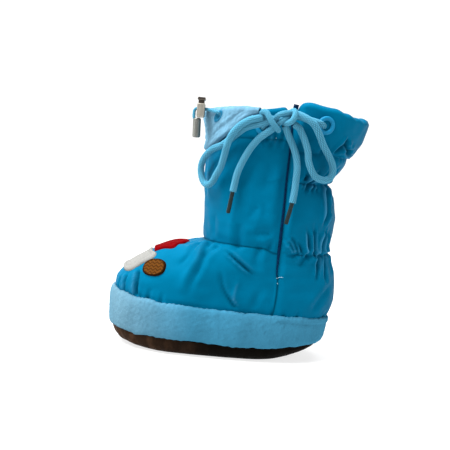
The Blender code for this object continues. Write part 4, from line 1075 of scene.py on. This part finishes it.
def round_shares(count):
    """Columns once round the boot, closer together at the seams and where the folds are."""
    line = np.linspace(0.0, 1.0, 4001)
    places = (0.0, 0.24, 0.26, 0.47, 0.51, 0.60, 0.63, 0.74, 0.76, 0.97, 1.0)
    density = np.interp(line, places, (0.9, 0.9, 0.5, 0.5, 1.9, 1.9, 1.2, 1.2, 2.2, 2.2, 0.9))
    density = density + 1.6 * bell(line - 0.25, 0.012) + 1.6 * bell(line - 0.75, 0.012)
    return spaced(line, density, count + 1)[:-1]


def rim_lift(share):
    """How far the collar's back edge stands over its even line: a raised corner at the heel, small steps."""
    share = np.mod(share, 1.0)
    steps = 0.35 * np.sin(2 * PI * 31 * share) * bell(share - 0.89, 0.05)
    return 1.5 * bell(share - 0.955, 0.022) - 1.2 * bell(share - 0.815, 0.022) + steps


def stitch_and_shade_tag(height, share):
    """How dark a stitch line and the painted shade in its groove make the cloth: ankle seam, side seams and
    casing lines.
    """
    front = on_front(share)
    half = half_share(share)
    ankle = bell(height - INSTEP_HEIGHT + 2.2 * ease(0.58, 0.51, half), 0.6) * front
    casing = 0.35 * bell(height - FRONT_CASING, 0.6) * front
    elastic = 0.12 * bell(height - BACK_CASING, 0.7) * ~front
    bow = 0.01 * np.sin(PI * np.clip((54.5 - height) / 26.0, 0.0, 1.0))
    side = bell(half - 0.5 + bow, 0.006) * np.where(height < 51.0, 0.8, 0.5)
    return np.clip(np.maximum.reduce([0.7 * ankle, casing, elastic, side]), 0.0, 1.0)


class BOOTIE_OT_upper(bpy.types.Operator):
    """Padded upper: nylon outside with its folds, rolled rim and fleece lining inside."""

    bl_idname = "bootie.upper"
    bl_label = "Padded upper"

    def execute(self, context):
        share = round_shares(372)[None, :]
        seams = (INSTEP_HEIGHT, ANKLE_ELASTIC, WAIST_ELASTIC, BACK_CASING, FRONT_CASING)
        outside = eased_steps(UPPER_LOW, UPPER_HIGH, 221, seams, 1.2, 1.6)[:, None]
        edge = np.maximum(band_low(share), FORM_LOW)
        low = on_upper(edge, share)
        outer = np.concatenate([low, on_upper(outside, share)])
        rim_turn = np.linspace(0.15, 0.9, 6)[:, None]
        top = last_point(COLLAR_HEIGHT, share, padding(COLLAR_HEIGHT, share))
        edge_in = last_point(COLLAR_HEIGHT, share, -WALL)
        rim = top * (1 - rim_turn[..., None]) + edge_in * rim_turn[..., None]
        rim[..., 2] += 0.9 * np.sin(PI * rim_turn)
        inside = np.linspace(UPPER_HIGH - 0.5, UPPER_LOW, 28)[:, None]
        inner = last_point(inside, share, -WALL)
        nap = sizes().nap * ripples(inner, 3.4, 11) * ease(0.0, 6.0, COLLAR_HEIGHT - inside)
        inner = inner + sample(LAST_NORMAL, inside, share) * nap[..., None]
        foot = last_point(edge, share, -WALL)
        points = np.concatenate([outer, rim, inner, foot])
        points[[0, -1], :, 2] = band_low(share)
        over = np.full((len(rim), 1), UPPER_HIGH)
        level = np.concatenate([[[UPPER_LOW]], outside, over, inside, [[UPPER_LOW]]])
        points[..., 2] += rim_lift(share) * ease(127.0, UPPER_HIGH, level)
        # Colour tags: painted shade in crease troughs, painted highlights on ridges, dark stitch lines with
        # painted shade in their grooves.
        tags = {name: np.zeros(points.shape[:2]) for name in ("seam", "trough", "ridge")}
        tags["seam"][1 : len(outer)] = stitch_and_shade_tag(outside, share)
        lines = sample(UPPER["lines"], outside, share)
        tags["trough"][1 : len(outer)] = ease(0.2, 3.0, lines[..., 0] - 0.5 * lines[..., 1])
        tags["ridge"][1 : len(outer)] = ease(0.15, 1.7, lines[..., 1])
        look = (nylon_look(colours().nylon), nap_look("lining fleece", colours().fleece, 700.0, 0.5))
        made = lofted("upper_padded", points, look, ring=True, tags=tags)
        lining = np.zeros((len(points), share.shape[1]), np.int32)
        lining[len(outer) + 4 : -1] = 1
        made.data.polygons.foreach_set("material_index", lining.ravel())
        dressed(made, "upper")
        return {"FINISHED"}


class BOOTIE_OT_band(bpy.types.Operator):
    """Velour band round the foot: upright face with a rolled, slightly wavy upper edge."""

    bl_idname = "bootie.band"
    bl_label = "Velour foot band"

    def execute(self, context):
        share = round_shares(680)[None, :]
        ring = last_point(28.0, share, 0.0)
        top = band_top(share) + 0.4 * ripples(ring, 11.0, 3) + 0.3 * ripples(ring, 2.0, 4)
        low = band_low(share) + 0.4 * ripples(ring, 10.0, 13) + 0.3 * ripples(ring, 3.0, 14)
        down = np.linspace(0.0, 1.0, 46)[1:-1]
        steps = np.concatenate([np.linspace(0.0, 1.0, 12), 1.0 - down])[:, None]
        knots = (0.0, 0.03, 0.08, 0.2, 0.5, 0.9, 0.97, 1.0)
        lift = pchip(down, knots, (0.0, 0.45, 0.75, 0.97, 1.1, 1.02, 0.85, 0.4))
        lift = np.concatenate([np.zeros(12), lift])[:, None]
        height = low + (top - low) * steps
        points = last_point(height, share, padding(height, share) + 0.45 + 2.5 * lift)
        nap = sizes().nap * (0.5 * ripples(points, 2.2, 21) + 1.3 * ripples(points, 14.0, 22))
        nap = nap * ease(0.1, 0.6, lift)
        points = points + sample(LAST_NORMAL, height, share) * nap[..., None]
        points[..., 2] = height + 0.5 * nap * ease(0.6, 1.0, steps)
        look = nap_look("velour", colours().velour, 1100.0, 0.55, toe=tuple(colours().velour_lit_toe))
        made = lofted("foot_band_velour", points, (look,), ring=True)
        dressed(made, "foot_band")
        return {"FINISHED"}


class BOOTIE_OT_sole(bpy.types.Operator):
    """Soft sole: quarter-ellipse edge, toe raised, with drawn-in wrinkles round the toe."""

    bl_idname = "bootie.sole"
    bl_label = "Brown sole"

    def execute(self, context):
        share = round_shares(420)
        edge = band_low(share) + 0.25
        top = last_point(BAND_LOW, share, SOLE_LIP)
        inner = sample(LAST_NORMAL, BAND_LOW, share)
        inner[:, 2] = 0.0
        inner = unit(inner)
        runs = (SOLE_RUN_HEEL, SOLE_RUN_QUARTER, SOLE_RUN_SIDE, SOLE_RUN_SIDE, SOLE_RUN_TOE)
        run = pchip(half_share(share), (0.0, 0.25, 0.5, 0.7, 1.0), runs)
        turn = np.radians(np.linspace(0.0, 90.0, 30))[:, None]
        loop = top[None] - inner[None] * (run * (1.0 - np.cos(turn)))[..., None]
        flat = top * (1.0, 1.0, 0.0)
        toe = 0.35 + 0.65 * ease(0.5, 0.95, half_share(share))
        draw = toe * (0.6 * ripples(flat, 7.0, 31) + 0.35 * ripples(flat, 3.6, 32))
        draw = draw[None] * np.sin(2.0 * turn) ** 2 - 0.25 * bell(turn - 0.12, 0.06)
        loop = loop + inner[None] * draw[..., None]
        loop[..., 2] = edge - (edge - spring(loop[..., 0])) * np.sin(turn)
        inset = np.array([0.86, 0.7, 0.5, 0.3, 0.12])[:, None, None]
        under = loop[-1][None] * inset
        under[..., 2] = spring(under[..., 0])
        points = np.concatenate([loop, under])
        made = lofted("sole_soft", points, (sole_look(colours().sole),))
        dressed(made, "outsole")
        return {"FINISHED"}


class BOOTIE_OT_insole(bpy.types.Operator):
    """Fleece insole: thin crowned pad with a rounded edge on the sole."""

    bl_idname = "bootie.insole"
    bl_label = "Fleece insole"

    def execute(self, context):
        share = round_shares(240)
        edge = ((9.1, 1.6), (9.4, 0.9), (10.0, 0.6), (11.0, 0.6), (11.7, 1.0), (12.0, 1.8))
        rows = []
        for height, inset in edge:
            row = last_point(9.6, share, -(WALL + 0.35 + inset))
            row[:, 2] = height + 0.85 * (band_low(share) - BAND_LOW)
            rows.append(row)
        middle = rows[-1].mean(axis=0)
        for inset in np.linspace(0.94, 0.04, 26):
            row = middle + (rows[len(edge) - 1] - middle) * inset
            row[:, 2] += sizes().nap * ripples(row, 3.0, 41)
            rows.append(row)
        look = nap_look("insole fleece", colours().fleece, 700.0, 0.5)
        made = lofted("insole_fleece", np.array(rows), (look,))
        dressed(made, "insole")
        return {"FINISHED"}


def cuff_low(share):
    """Height of the turned-out cuff's free edge: lowest at the front, at the rim at its two ends."""
    away = np.abs(np.mod(share, 1.0) - 0.5)
    knots = (0.0, 0.05, 0.075, 0.12, 0.162, CUFF_HALF)
    return pchip(away, knots, (116.0, 117.4, 120.6, 128.4, 136.8, 138.5))


def buttonhole(height, share):
    """Place on the cuff from the buttonhole's middle, in half lengths and half widths of its slot."""
    across = (share - 0.584) * 320.0
    rise = height - 136.6
    return (0.8 * across + 0.6 * rise) / 3.6, (0.8 * rise - 0.6 * across) / 2.0


class BOOTIE_OT_cuff(bpy.types.Operator):
    """Front of the collar turned outwards: fleece over the rim and down to a rolled slanting edge."""

    bl_idname = "bootie.cuff"
    bl_label = "Fleece cuff"

    def execute(self, context):
        share = np.linspace(0.5 - CUFF_HALF, 0.5 + CUFF_HALF, CUFF_COLUMNS)[:, None]
        end = ease(0.0, 0.03, CUFF_HALF - np.abs(share - 0.5))
        thick = CUFF_THICK * (0.35 + 0.65 * end)
        low = cuff_low(share)
        t = np.linspace(0.0, 1.0, CUFF_ROWS)[None, :]
        leg = low + (COLLAR_HEIGHT - low) * t
        lean = 2.0 * ease(124.0, 139.0, leg) * bell(share - 0.5, 0.09)
        seat = np.maximum(padding(leg, share), 1.3) + 0.55 - 0.4 * ease(124.0, 118.0, leg) + lean
        down = leg - low
        hem = 0.5 * bell(down - 2.0, 1.8) - 0.3 * bell(down - 6.4, 1.1) + 0.15 * bell(down - 8.6, 1.6)
        round_edge = np.sqrt(np.clip(1.0 - np.clip(1.0 - down / 1.3, 0.0, 1.0) ** 2, 0.0, 1.0))
        front = last_point(leg, share, seat + (thick + hem * end) * (0.5 + 0.5 * round_edge))
        back = last_point(leg, share, seat + thick * 0.5 * (1.0 - round_edge))
        pad = padding(COLLAR_HEIGHT, share)
        u = np.linspace(0.0, 1.0, 14)[None, :]
        reach = (pad + 0.8 * thick + lean[:, -1:]) * (1 - u) - (0.85 * WALL + 0.5) * u
        over = last_point(COLLAR_HEIGHT, share, reach)
        over[..., 2] += (1.2 + 1.2 * np.sin(PI * (0.2 + 0.75 * u))) - 0.6 * (1.0 - end)
        deep = np.linspace(COLLAR_HEIGHT, COLLAR_HEIGHT - 8.0, 12)[None, :]
        inside = last_point(deep, share, -(WALL + 1.05 + 1.3 * thick / CUFF_THICK))
        inner_face = last_point(deep[:, ::-1], share, -(WALL + 0.65))
        v = np.linspace(0.0, 1.0, 8)[None, :]
        reach = -0.6 * WALL * (1 - v) + (0.8 * pad + lean[:, -1:]) * v
        under = last_point(COLLAR_HEIGHT, share, reach)
        under[..., 2] += 1.25
        shown = np.concatenate([front, over, inside], axis=1)
        nap = sizes().nap * (0.6 * ripples(shown, 2.6, 51) + 0.7 * ripples(shown, 8.0, 52)) * end
        way = unit(np.cross(np.gradient(shown, axis=0), np.gradient(shown, axis=1)))
        way = way * np.sign((way * sample(LAST_NORMAL, 130.0, share)).sum(axis=-1)[:, :CUFF_ROWS].mean())
        hole = np.hypot(*buttonhole(leg, share))
        bead = bell(hole - 1.0, 0.22) * (1.0 + 0.25 * np.sin(40.0 * np.arctan2(*buttonhole(leg, share))))
        nap[:, :CUFF_ROWS] *= ease(1.1, 1.5, hole)
        nap[:, :CUFF_ROWS] += 0.45 * bead - 0.9 * bell(hole, 0.55)
        shown = shown + way * nap[..., None]
        points = np.concatenate([shown, inner_face, under, back[:, ::-1]], axis=1)
        trim = np.zeros(points.shape[:2])
        trim[:, :CUFF_ROWS] = 1.0 - ease(1.2, 1.4, hole)
        rows, columns, _ = points.shape
        faces = grid_faces(rows, columns, False, True)
        outer = shown.shape[1]
        rest = columns - outer
        for start in (0, (rows - 1) * columns):
            strip = start + np.arange(columns)
            inner_side = strip[outer:][::-1]
            pick = np.round(np.linspace(0, rest - 1, outer)).astype(int)
            for j in range(outer - 1):
                corner = (strip[j], strip[j + 1], inner_side[pick[j + 1]], inner_side[pick[j]])
                faces.append(list(dict.fromkeys(int(c) for c in corner)))
        look = nap_look("cuff fleece", colours().fleece, 800.0, 0.55, trim=tuple(colours().nylon))
        made = mesh_object("cuff_fleece", points.reshape(-1, 3), faces, (look,), tags={"trim": trim})
        dressed(made, "fleece_cuff")
        return {"FINISHED"}


class BOOTIE_OT_zip(bpy.types.Operator):
    """Closed side zip: narrow ribbed coil along the seam, with the tape's loose end at the top."""

    bl_idname = "bootie.zip"
    bl_label = "Side zip"

    def execute(self, context):
        height = np.linspace(ZIP_LOW, ZIP_HIGH, 560)
        middle = on_upper(height, np.full(height.shape, 0.75), 0.25)
        tab = np.array([[0.4, -0.6, 4.0], [1.2, -1.0, 9.2]]) + middle[-1]
        tail = smooth_route(np.concatenate([middle[-2:], tab]), 0.25)[2:]
        middle = np.concatenate([middle, tail])
        across = unit(np.cross(np.gradient(middle, axis=0), np.array([[0.0, -1.0, 0.0]])))
        out = unit(np.cross(np.gradient(middle, axis=0), across)) * -1.0
        out = np.where((out[:, 1] > 0)[:, None], -out, out)
        run = run_along(middle)
        sewn = run[len(height) - 1]
        loose = ease(sewn - 2.0, sewn + 2.0, run)
        rise = np.concatenate([height, np.full(len(tail), height[-1])])
        wide = pchip(rise, (ZIP_LOW, 56.0, 66.0, 100.0, ZIP_HIGH), (0.2, 0.5, 0.85, 0.55, 0.5)) + 0.9 * loose
        turn = np.linspace(0.0, 2 * PI, 14, endpoint=False)
        teeth = 1.0 + 0.28 * (1 - loose) * np.sin(2 * PI * run / ZIP_TEETH)
        side = across[:, None, :] * (wide[:, None] * np.cos(turn)[None])[..., None]
        up = out[:, None, :] * ((0.45 * teeth)[:, None] * np.sin(turn)[None])[..., None]
        points = middle[:, None, :] + side + up
        made = lofted("zip_closed", points, (zip_look(colours().zip),))
        dressed(made, "side_zip")
        return {"FINISHED"}


def tangent_frame(height, share):
    """Point on the upper with unit vectors forward along the ring, across it and out."""
    place = on_upper(np.array([height]), np.array([share]))[0]
    step = on_upper(np.array([height] * 2), np.array([share - 0.006, share + 0.006]))
    normal = unit(sample(LAST_NORMAL, np.array([height]), np.array([share])))[0]
    along = step[1] - step[0]
    along = unit(along - normal * (along @ normal))
    return place, along, np.cross(normal, along), normal


def lay_on(height, share, flat):
    """Heights and shares on the upper whose places, seen along the normal at a centre, are flat points.

    Newton steps on the two surface coordinates, with slopes taken from near differences.
    """
    place, along, across, _ = tangent_frame(height, share)
    h = np.full(flat.shape[:-1], float(height))
    s = np.full(flat.shape[:-1], float(share))

    def seen(hh, ss):
        away = on_upper(hh, ss) - place
        return np.stack([away @ along, away @ across], axis=-1)

    for _ in range(14):
        miss = flat - seen(h, s)
        slope_h = (seen(h + 0.6, s) - seen(h - 0.6, s)) / 1.2
        slope_s = (seen(h, s + 0.003) - seen(h, s - 0.003)) / 0.006
        det = slope_h[..., 0] * slope_s[..., 1] - slope_h[..., 1] * slope_s[..., 0]
        det = np.where(np.abs(det) < 1e-6, 1e-6, det)
        step_h = (miss[..., 0] * slope_s[..., 1] - miss[..., 1] * slope_s[..., 0]) / det
        step_s = (miss[..., 1] * slope_h[..., 0] - miss[..., 0] * slope_h[..., 1]) / det
        h = np.clip(h + np.clip(step_h, -2.0, 2.0), 12.0, 139.0)
        s = s + np.clip(step_s, -0.01, 0.01)
    return h, s


def stitched_patch(name, node, slot, centre, spin, outline, look, rows):
    """Sewn-on patch: a shaped disc laid on the upper with a raised border of close stitches."""
    turn = np.linspace(0.0, 2 * PI, 210, endpoint=False)
    edge = outline(turn)
    c = np.cos(np.radians(spin))
    s = np.sin(np.radians(spin))
    edge = np.stack([c * edge[:, 0] - s * edge[:, 1], s * edge[:, 0] + c * edge[:, 1]], axis=-1)
    k = np.concatenate([np.linspace(0.03, 1.0, PATCH_RINGS), [1.0, 0.97, 0.6, 0.2]])
    flat = edge[None] * k[:, None, None]
    h, sh = lay_on(centre[0], centre[1], flat)
    inset = (1.0 - np.clip(k, 0.0, 1.0)) * PATCH_BORDER
    lift = 0.75 + 0.45 * bell(inset - 0.75, 0.55)
    lift = lift * np.sqrt(np.clip(1.0 - np.clip(1.0 - inset / 0.55, 0.0, 1.0) ** 2, 0.0, 1.0))
    lift[PATCH_RINGS:] = (-0.25, -0.4, -0.5, -0.5)
    fine = 0.05 * np.sin(70 * turn)[None] * (inset[:, None] < 1.4)
    points = on_upper(h, sh, lift[:, None] + fine * (lift > 0.2)[:, None])
    tag = rows(flat, inset[:, None] * np.ones_like(flat[..., 0]), c, s)
    made = lofted(name, points, (look,), tags={"row": tag})
    return dressed(made, node)


def mitten(turn):
    """Rounded hand of a mitten with the thumb on one side and a straight wrist."""
    hand = MITTEN_LONG / np.hypot(np.cos(turn), np.sin(turn) * MITTEN_LONG / MITTEN_WIDE)
    reach = hand + THUMB_LONG * bell(turn - np.radians(THUMB_ANGLE), 0.26)
    x = np.maximum(reach * np.cos(turn), -MITTEN_WRIST * MITTEN_LONG)
    return np.stack([x, reach * np.sin(turn)], axis=-1)


def oval(long, wide, power):
    """Super-ellipse of a half length and a half width."""

    def outline(turn):
        c = np.cos(turn)
        s = np.sin(turn)
        x = long * np.sign(c) * np.abs(c) ** (2.0 / power)
        return np.stack([x, wide * np.sign(s) * np.abs(s) ** (2.0 / power)], axis=-1)

    return outline


def mitten_cuff(turn):
    """Super-ellipse of the mitten's cuff with its corner by the thumb drawn out."""
    edge = oval(10.2, 15.4, 2.8)(turn)
    edge[:, 0] += 3.4 * bell(turn - np.radians(316.0), 0.28)
    edge[:, 1] -= 3.6 * bell(turn - np.radians(304.0), 0.36)
    return edge


class BOOTIE_OT_patches(bpy.types.Operator):
    """Toe motif: red mitten with a white cuff, and a brown cone with zigzag rows."""

    bl_idname = "bootie.patches"
    bl_label = "Toe patches"

    def execute(self, context):
        def plain(flat, inset, c, s):
            return 0.35 * bell(inset - 1.5, 0.25)

        def zigzag(flat, inset, c, s):
            x = c * flat[..., 0] + s * flat[..., 1]
            y = -s * flat[..., 0] + c * flat[..., 1]
            wave = y + 1.3 * np.abs(np.mod(x / 1.5, 2.0) - 1.0)
            line = bell(np.mod(wave, 2.0) - 1.0, 0.36) * (inset > 1.0)
            return np.maximum(0.85 * line, 0.9 * (inset < 0.9))

        tone = colours()
        red = stitch_look("red felt", tone.red, tinted(tone.red, 0.55))
        white = stitch_look("white felt", tone.white, tinted(tone.white, 0.75))
        brown = stitch_look("brown felt", tone.brown, tinted(tone.brown, 0.1))
        cone = oval(7.4, 5.4, 2.3)
        patches = (
            ("mitten_red", "patch_mitten", "red_felt", (58.9, 0.503), 90.0, mitten, red, plain),
            ("mitten_cuff_white", "patch_mitten_cuff", "white_felt", (49.0, 0.506), 90.0, mitten_cuff, white,
             plain),
            ("cone_brown", "patch_cone", "brown_felt", (47.5, 0.571), 10.0, cone, brown, zigzag),
        )
        for patch in patches:
            stitched_patch(*patch)
        return {"FINISHED"}


# Loose ends of sewing thread, as (hundredths round, height) places on the upper
THREADS = (
    ((75.0, 49.3), (75.4, 49.6), (75.9, 50.1), (76.8, 50.4)),
    ((75.2, 46.9), (75.5, 46.3)),
    ((71.5, 125.6), (71.9, 125.6)),
)


class BOOTIE_OT_threads(bpy.types.Operator):
    """Short ends of pale sewing thread at the zip's lower end and on the casing."""

    bl_idname = "bootie.threads"
    bl_label = "Thread ends"

    def execute(self, context):
        tubes = []
        for route in THREADS:
            places = smooth_route(np.array(route), 0.1)
            line = on_upper(places[:, 1], places[:, 0] / 100.0, 0.35)
            tubes.append(tube_points(line, lambda run, turn: 0.5 * THREAD, 0.2, 8)[0])
        made = joined("thread_ends", tubes, thread_look(colours().thread))
        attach(made, BODY)
        return {"FINISHED"}


class BOOTIE_OT_eyelets(bpy.types.Operator):
    """Two moulded rings on the collar casing."""

    bl_idname = "bootie.eyelets"
    bl_label = "Eyelets"

    def execute(self, context):
        look = plastic_look("eyelet plastic", colours().eyelet, 0.4)
        for name, height, share in (("eyelet_front", 131.5, 0.69), ("eyelet_back", 132.2, 0.821)):
            place, along, across, out = tangent_frame(height, share)
            turn = np.linspace(0.0, 2 * PI, 72, endpoint=False)[:, None, None]
            bead = np.linspace(0.0, 2 * PI, 20, endpoint=False)[None, :, None]
            radius = EYELET_RADIUS + EYELET_BEAD * np.cos(bead)
            ring = radius * (np.cos(turn) * along + np.sin(turn) * across)
            points = place + ring + out * (0.9 + 0.85 * np.sin(bead))
            made = lofted(name + "_ring", points, (look,), ring=True)
            dressed(made, name)
        return {"FINISHED"}


def braid(thick):
    """Radius of a braided cord: crossing helical yarns that go over and under."""

    def profile(run, turn):
        twist = 2 * PI * run / BRAID_PITCH
        lift = np.cos(BRAID_YARNS * turn + twist) * np.cos(BRAID_YARNS * turn - twist)
        return 0.5 * thick - BRAID_INSET + sizes().braid * thick / CORD * (np.abs(lift) * 2.0 - 1.0)

    return profile


def braided(name, routes, thick, look):
    """Braided cord along one or more routes, as one mesh; its tag, high on raised yarns and low in the gaps,
    paints shade into the gaps.
    """
    tubes = []
    tags = []
    for route, size in zip(routes, np.broadcast_to(thick, len(routes))):
        points, run, turn = tube_points(route, braid(size), 0.32, 44)
        radius = braid(size)(run[:, None], turn[None, :])
        height = (radius - radius.min()) / (np.ptp(radius) + 1e-9)
        tubes.append(points)
        tags.append(np.clip(1.5 * height - 0.15, 0.0, 1.0).ravel())
    return joined(name, tubes, look, {"braid_shading": np.concatenate(tags)})


def crimp(run, turn):
    """Radius of a cord tip: pinched near its upper end and rounded at its lower one."""
    full = run.max()
    body = 0.5 * TIP * (1.0 + 0.05 * np.sin(2 * turn) - 0.10 * bell(run - 0.3 * full, 0.4))
    last = np.clip(1.0 - (full - run) / 0.5, 0.0, 1.0)
    return body * np.sqrt(1.0 - 0.4 * last**2)


def sleeve(run, turn):
    """Radius of the thin cord's end: a slightly flat tube with rounded edges."""
    end = np.minimum(run, run.max() - run)
    edge = 1.0 - 0.35 * np.clip(1.0 - end / 0.7, 0.0, 1.0) ** 2
    return 0.5 * SLEEVE * edge + 0.06 * np.cos(2 * turn)


class BOOTIE_OT_bow(bpy.types.Operator):
    """Drawcord bow: knot, two loops and two ends with crimped tips."""

    bl_idname = "bootie.bow"
    bl_label = "Drawcord bow"

    def execute(self, context):
        look = cord_look("drawcord", colours().cord)
        knot = braided("bow_knot_cord", KNOT_STRANDS + (RUN_BACK,), KNOT_THICK + (CORD,), look)
        dressed(knot, ("bow_knot", "bow_run_back"))
        tip_look = plastic_look("cord tip", colours().tip, 0.32)
        tips = {}
        for name, route in (("bow_tip_front", TIP_FRONT), ("bow_tip_back", TIP_BACK)):
            points, _, _ = tube_points(route, crimp, 0.3, around=24)
            tips[name] = dressed(lofted(name + "_crimped", points, (tip_look,)), name)
        cords = (
            ("bow_loop_front", LOOP_FRONT, "object", ()),
            ("bow_loop_back", LOOP_BACK, "object", ()),
            ("bow_end_front", END_FRONT, "fitting", (tips["bow_tip_front"],)),
            ("bow_end_back", END_BACK, "fitting", (tips["bow_tip_back"],)),
        )
        for name, route, far_end, pieces in cords:
            made = braided(name + "_cord", (route,), CORD, look)
            dressed(made, name)
        return {"FINISHED"}


class BOOTIE_OT_lock(bpy.types.Operator):
    """Cord lock on the cuff: satin barrel, polished plunger, and thin cord with its metal end."""

    bl_idname = "bootie.lock"
    bl_label = "Cord lock"

    def execute(self, context):
        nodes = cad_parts
        barrel = metal_look("barrel satin", colours().barrel, 0.42, 0.25)
        plunger = metal_look("plunger polish", colours().plunger, 0.2, 0.05)
        for name, look in (("lock_barrel", barrel), ("lock_plunger", plunger)):
            nodes[name].data.materials.clear()
            nodes[name].data.materials.append(look)
        cord = braided("lock_cord_thin", (LOCK_ROUTE,), THIN_CORD, cord_look("thin cord", colours().cord))
        dressed(cord, "lock_cord")
        points, _, _ = tube_points(SLEEVE_ROUTE, sleeve, 0.25, around=32)
        end = lofted("lock_cord_sleeve", points, (metal_look("sleeve satin", colours().sleeve, 0.45, 0.3),))
        dressed(end, "lock_cord_end")
        return {"FINISHED"}


class BOOTIE_OT_stage(bpy.types.Operator):
    """Pale floor that curves up behind, soft studio light and the camera."""

    bl_idname = "bootie.stage"
    bl_label = "Studio"

    def execute(self, context):
        sweep_from, sweep_run, sweep_radius = 1400.0, 900.0, 573.0
        x = np.linspace(-3000.0, 3000.0, 5)[None, :]
        run = np.linspace(-2500.0, 3600.0, 60)[:, None]
        turn = 0.5 * PI * np.clip((run - sweep_from) / sweep_run, 0.0, 1.0)
        y = np.minimum(run, sweep_from) + sweep_radius * np.sin(turn)
        z = sweep_radius * (1.0 - np.cos(turn)) + np.clip(run - sweep_from - sweep_run, 0.0, None)
        points = np.stack(np.broadcast_arrays(x, y, z), axis=-1)
        white = (1.0, 1.0, 1.0, 1.0)
        look = Finish("pale floor", (0.3, 0.3, 0.3), 0.9, Emission_Strength=0.75, Emission_Color=white)
        tone = look.even(look.noise(3.0, 2.0))
        look.colour(look.mixed(tone, (0.29, 0.29, 0.29), (0.31, 0.31, 0.31)))
        faces = grid_faces(len(run), x.shape[1], False, False)
        floor = mesh_object("floor", points.reshape(-1, 3), faces, (look.made,), turn=False)

        world = bpy.data.worlds.new("studio")
        world.use_nodes = True
        around = world.node_tree.nodes["Background"]
        around.inputs["Color"].default_value = white
        around.inputs["Strength"].default_value = 0.22
        context.scene.world = world
        lights = (
            ("key", (-0.58, -0.36, 1.2), 0.8, 42.0),
            ("fill", (0.85, -0.6, 0.4), 0.8, 3.4),
            ("side", (-0.9, -0.05, 0.35), 0.6, 3.4),
            ("top", (0.0, 0.15, 1.4), 1.2, 20.0),
        )
        for name, place, size, power in lights:
            data = bpy.data.lights.new(name, "AREA")
            data.size = size
            data.energy = power
            lamp = bpy.data.objects.new(name, data)
            lamp.location = place
            aim = Vector((0.0, 0.0, 0.07)) - Vector(place)
            lamp.rotation_euler = aim.to_track_quat("-Z", "Y").to_euler()
            context.scene.collection.objects.link(lamp)

        eye = bpy.data.cameras.new("camera")
        eye.sensor_width = 36.0
        eye.lens = 61.2
        camera = bpy.data.objects.new("camera", eye)
        turned = Matrix.Rotation(np.radians(84.75), 4, "X") @ Matrix.Rotation(np.radians(5.5), 4, "Z")
        camera.matrix_world = Matrix.Translation((-0.001, -0.450, 0.115)) @ turned
        context.scene.collection.objects.link(camera)
        context.scene.camera = camera
        context.scene.view_settings.view_transform = "Standard"
        return {"FINISHED"}


STEPS = (
    BOOTIE_OT_stage,
    BOOTIE_OT_bow,
    BOOTIE_OT_lock,
    BOOTIE_OT_upper,
    BOOTIE_OT_band,
    BOOTIE_OT_sole,
    BOOTIE_OT_insole,
    BOOTIE_OT_cuff,
    BOOTIE_OT_zip,
    BOOTIE_OT_eyelets,
    BOOTIE_OT_patches,
    BOOTIE_OT_threads,
)


class BOOTIE_PT_looks(bpy.types.Panel):
    """Lists the steps that dress the bootie."""

    bl_label = "Bootie"
    bl_idname = "BOOTIE_PT_looks"
    bl_space_type = "VIEW_3D"
    bl_region_type = "UI"
    bl_category = "Bootie"

    def draw(self, context):
        for step in STEPS:
            self.layout.operator(step.bl_idname)


CLASSES = (BootieColours, BootieSizes) + STEPS + (BOOTIE_PT_looks,)


def register():
    for each in CLASSES:
        bpy.utils.register_class(each)
    bpy.types.Scene.bootie_colours = bpy.props.PointerProperty(type=BootieColours)
    bpy.types.Scene.bootie_sizes = bpy.props.PointerProperty(type=BootieSizes)


def unregister():
    del bpy.types.Scene.bootie_sizes
    del bpy.types.Scene.bootie_colours
    for each in reversed(CLASSES):
        bpy.utils.unregister_class(each)


def main():
    register()
    for step in STEPS:
        group, name = step.bl_idname.split(".")
        getattr(getattr(bpy.ops, group), name)()


if __name__ == "__main__":
    main()
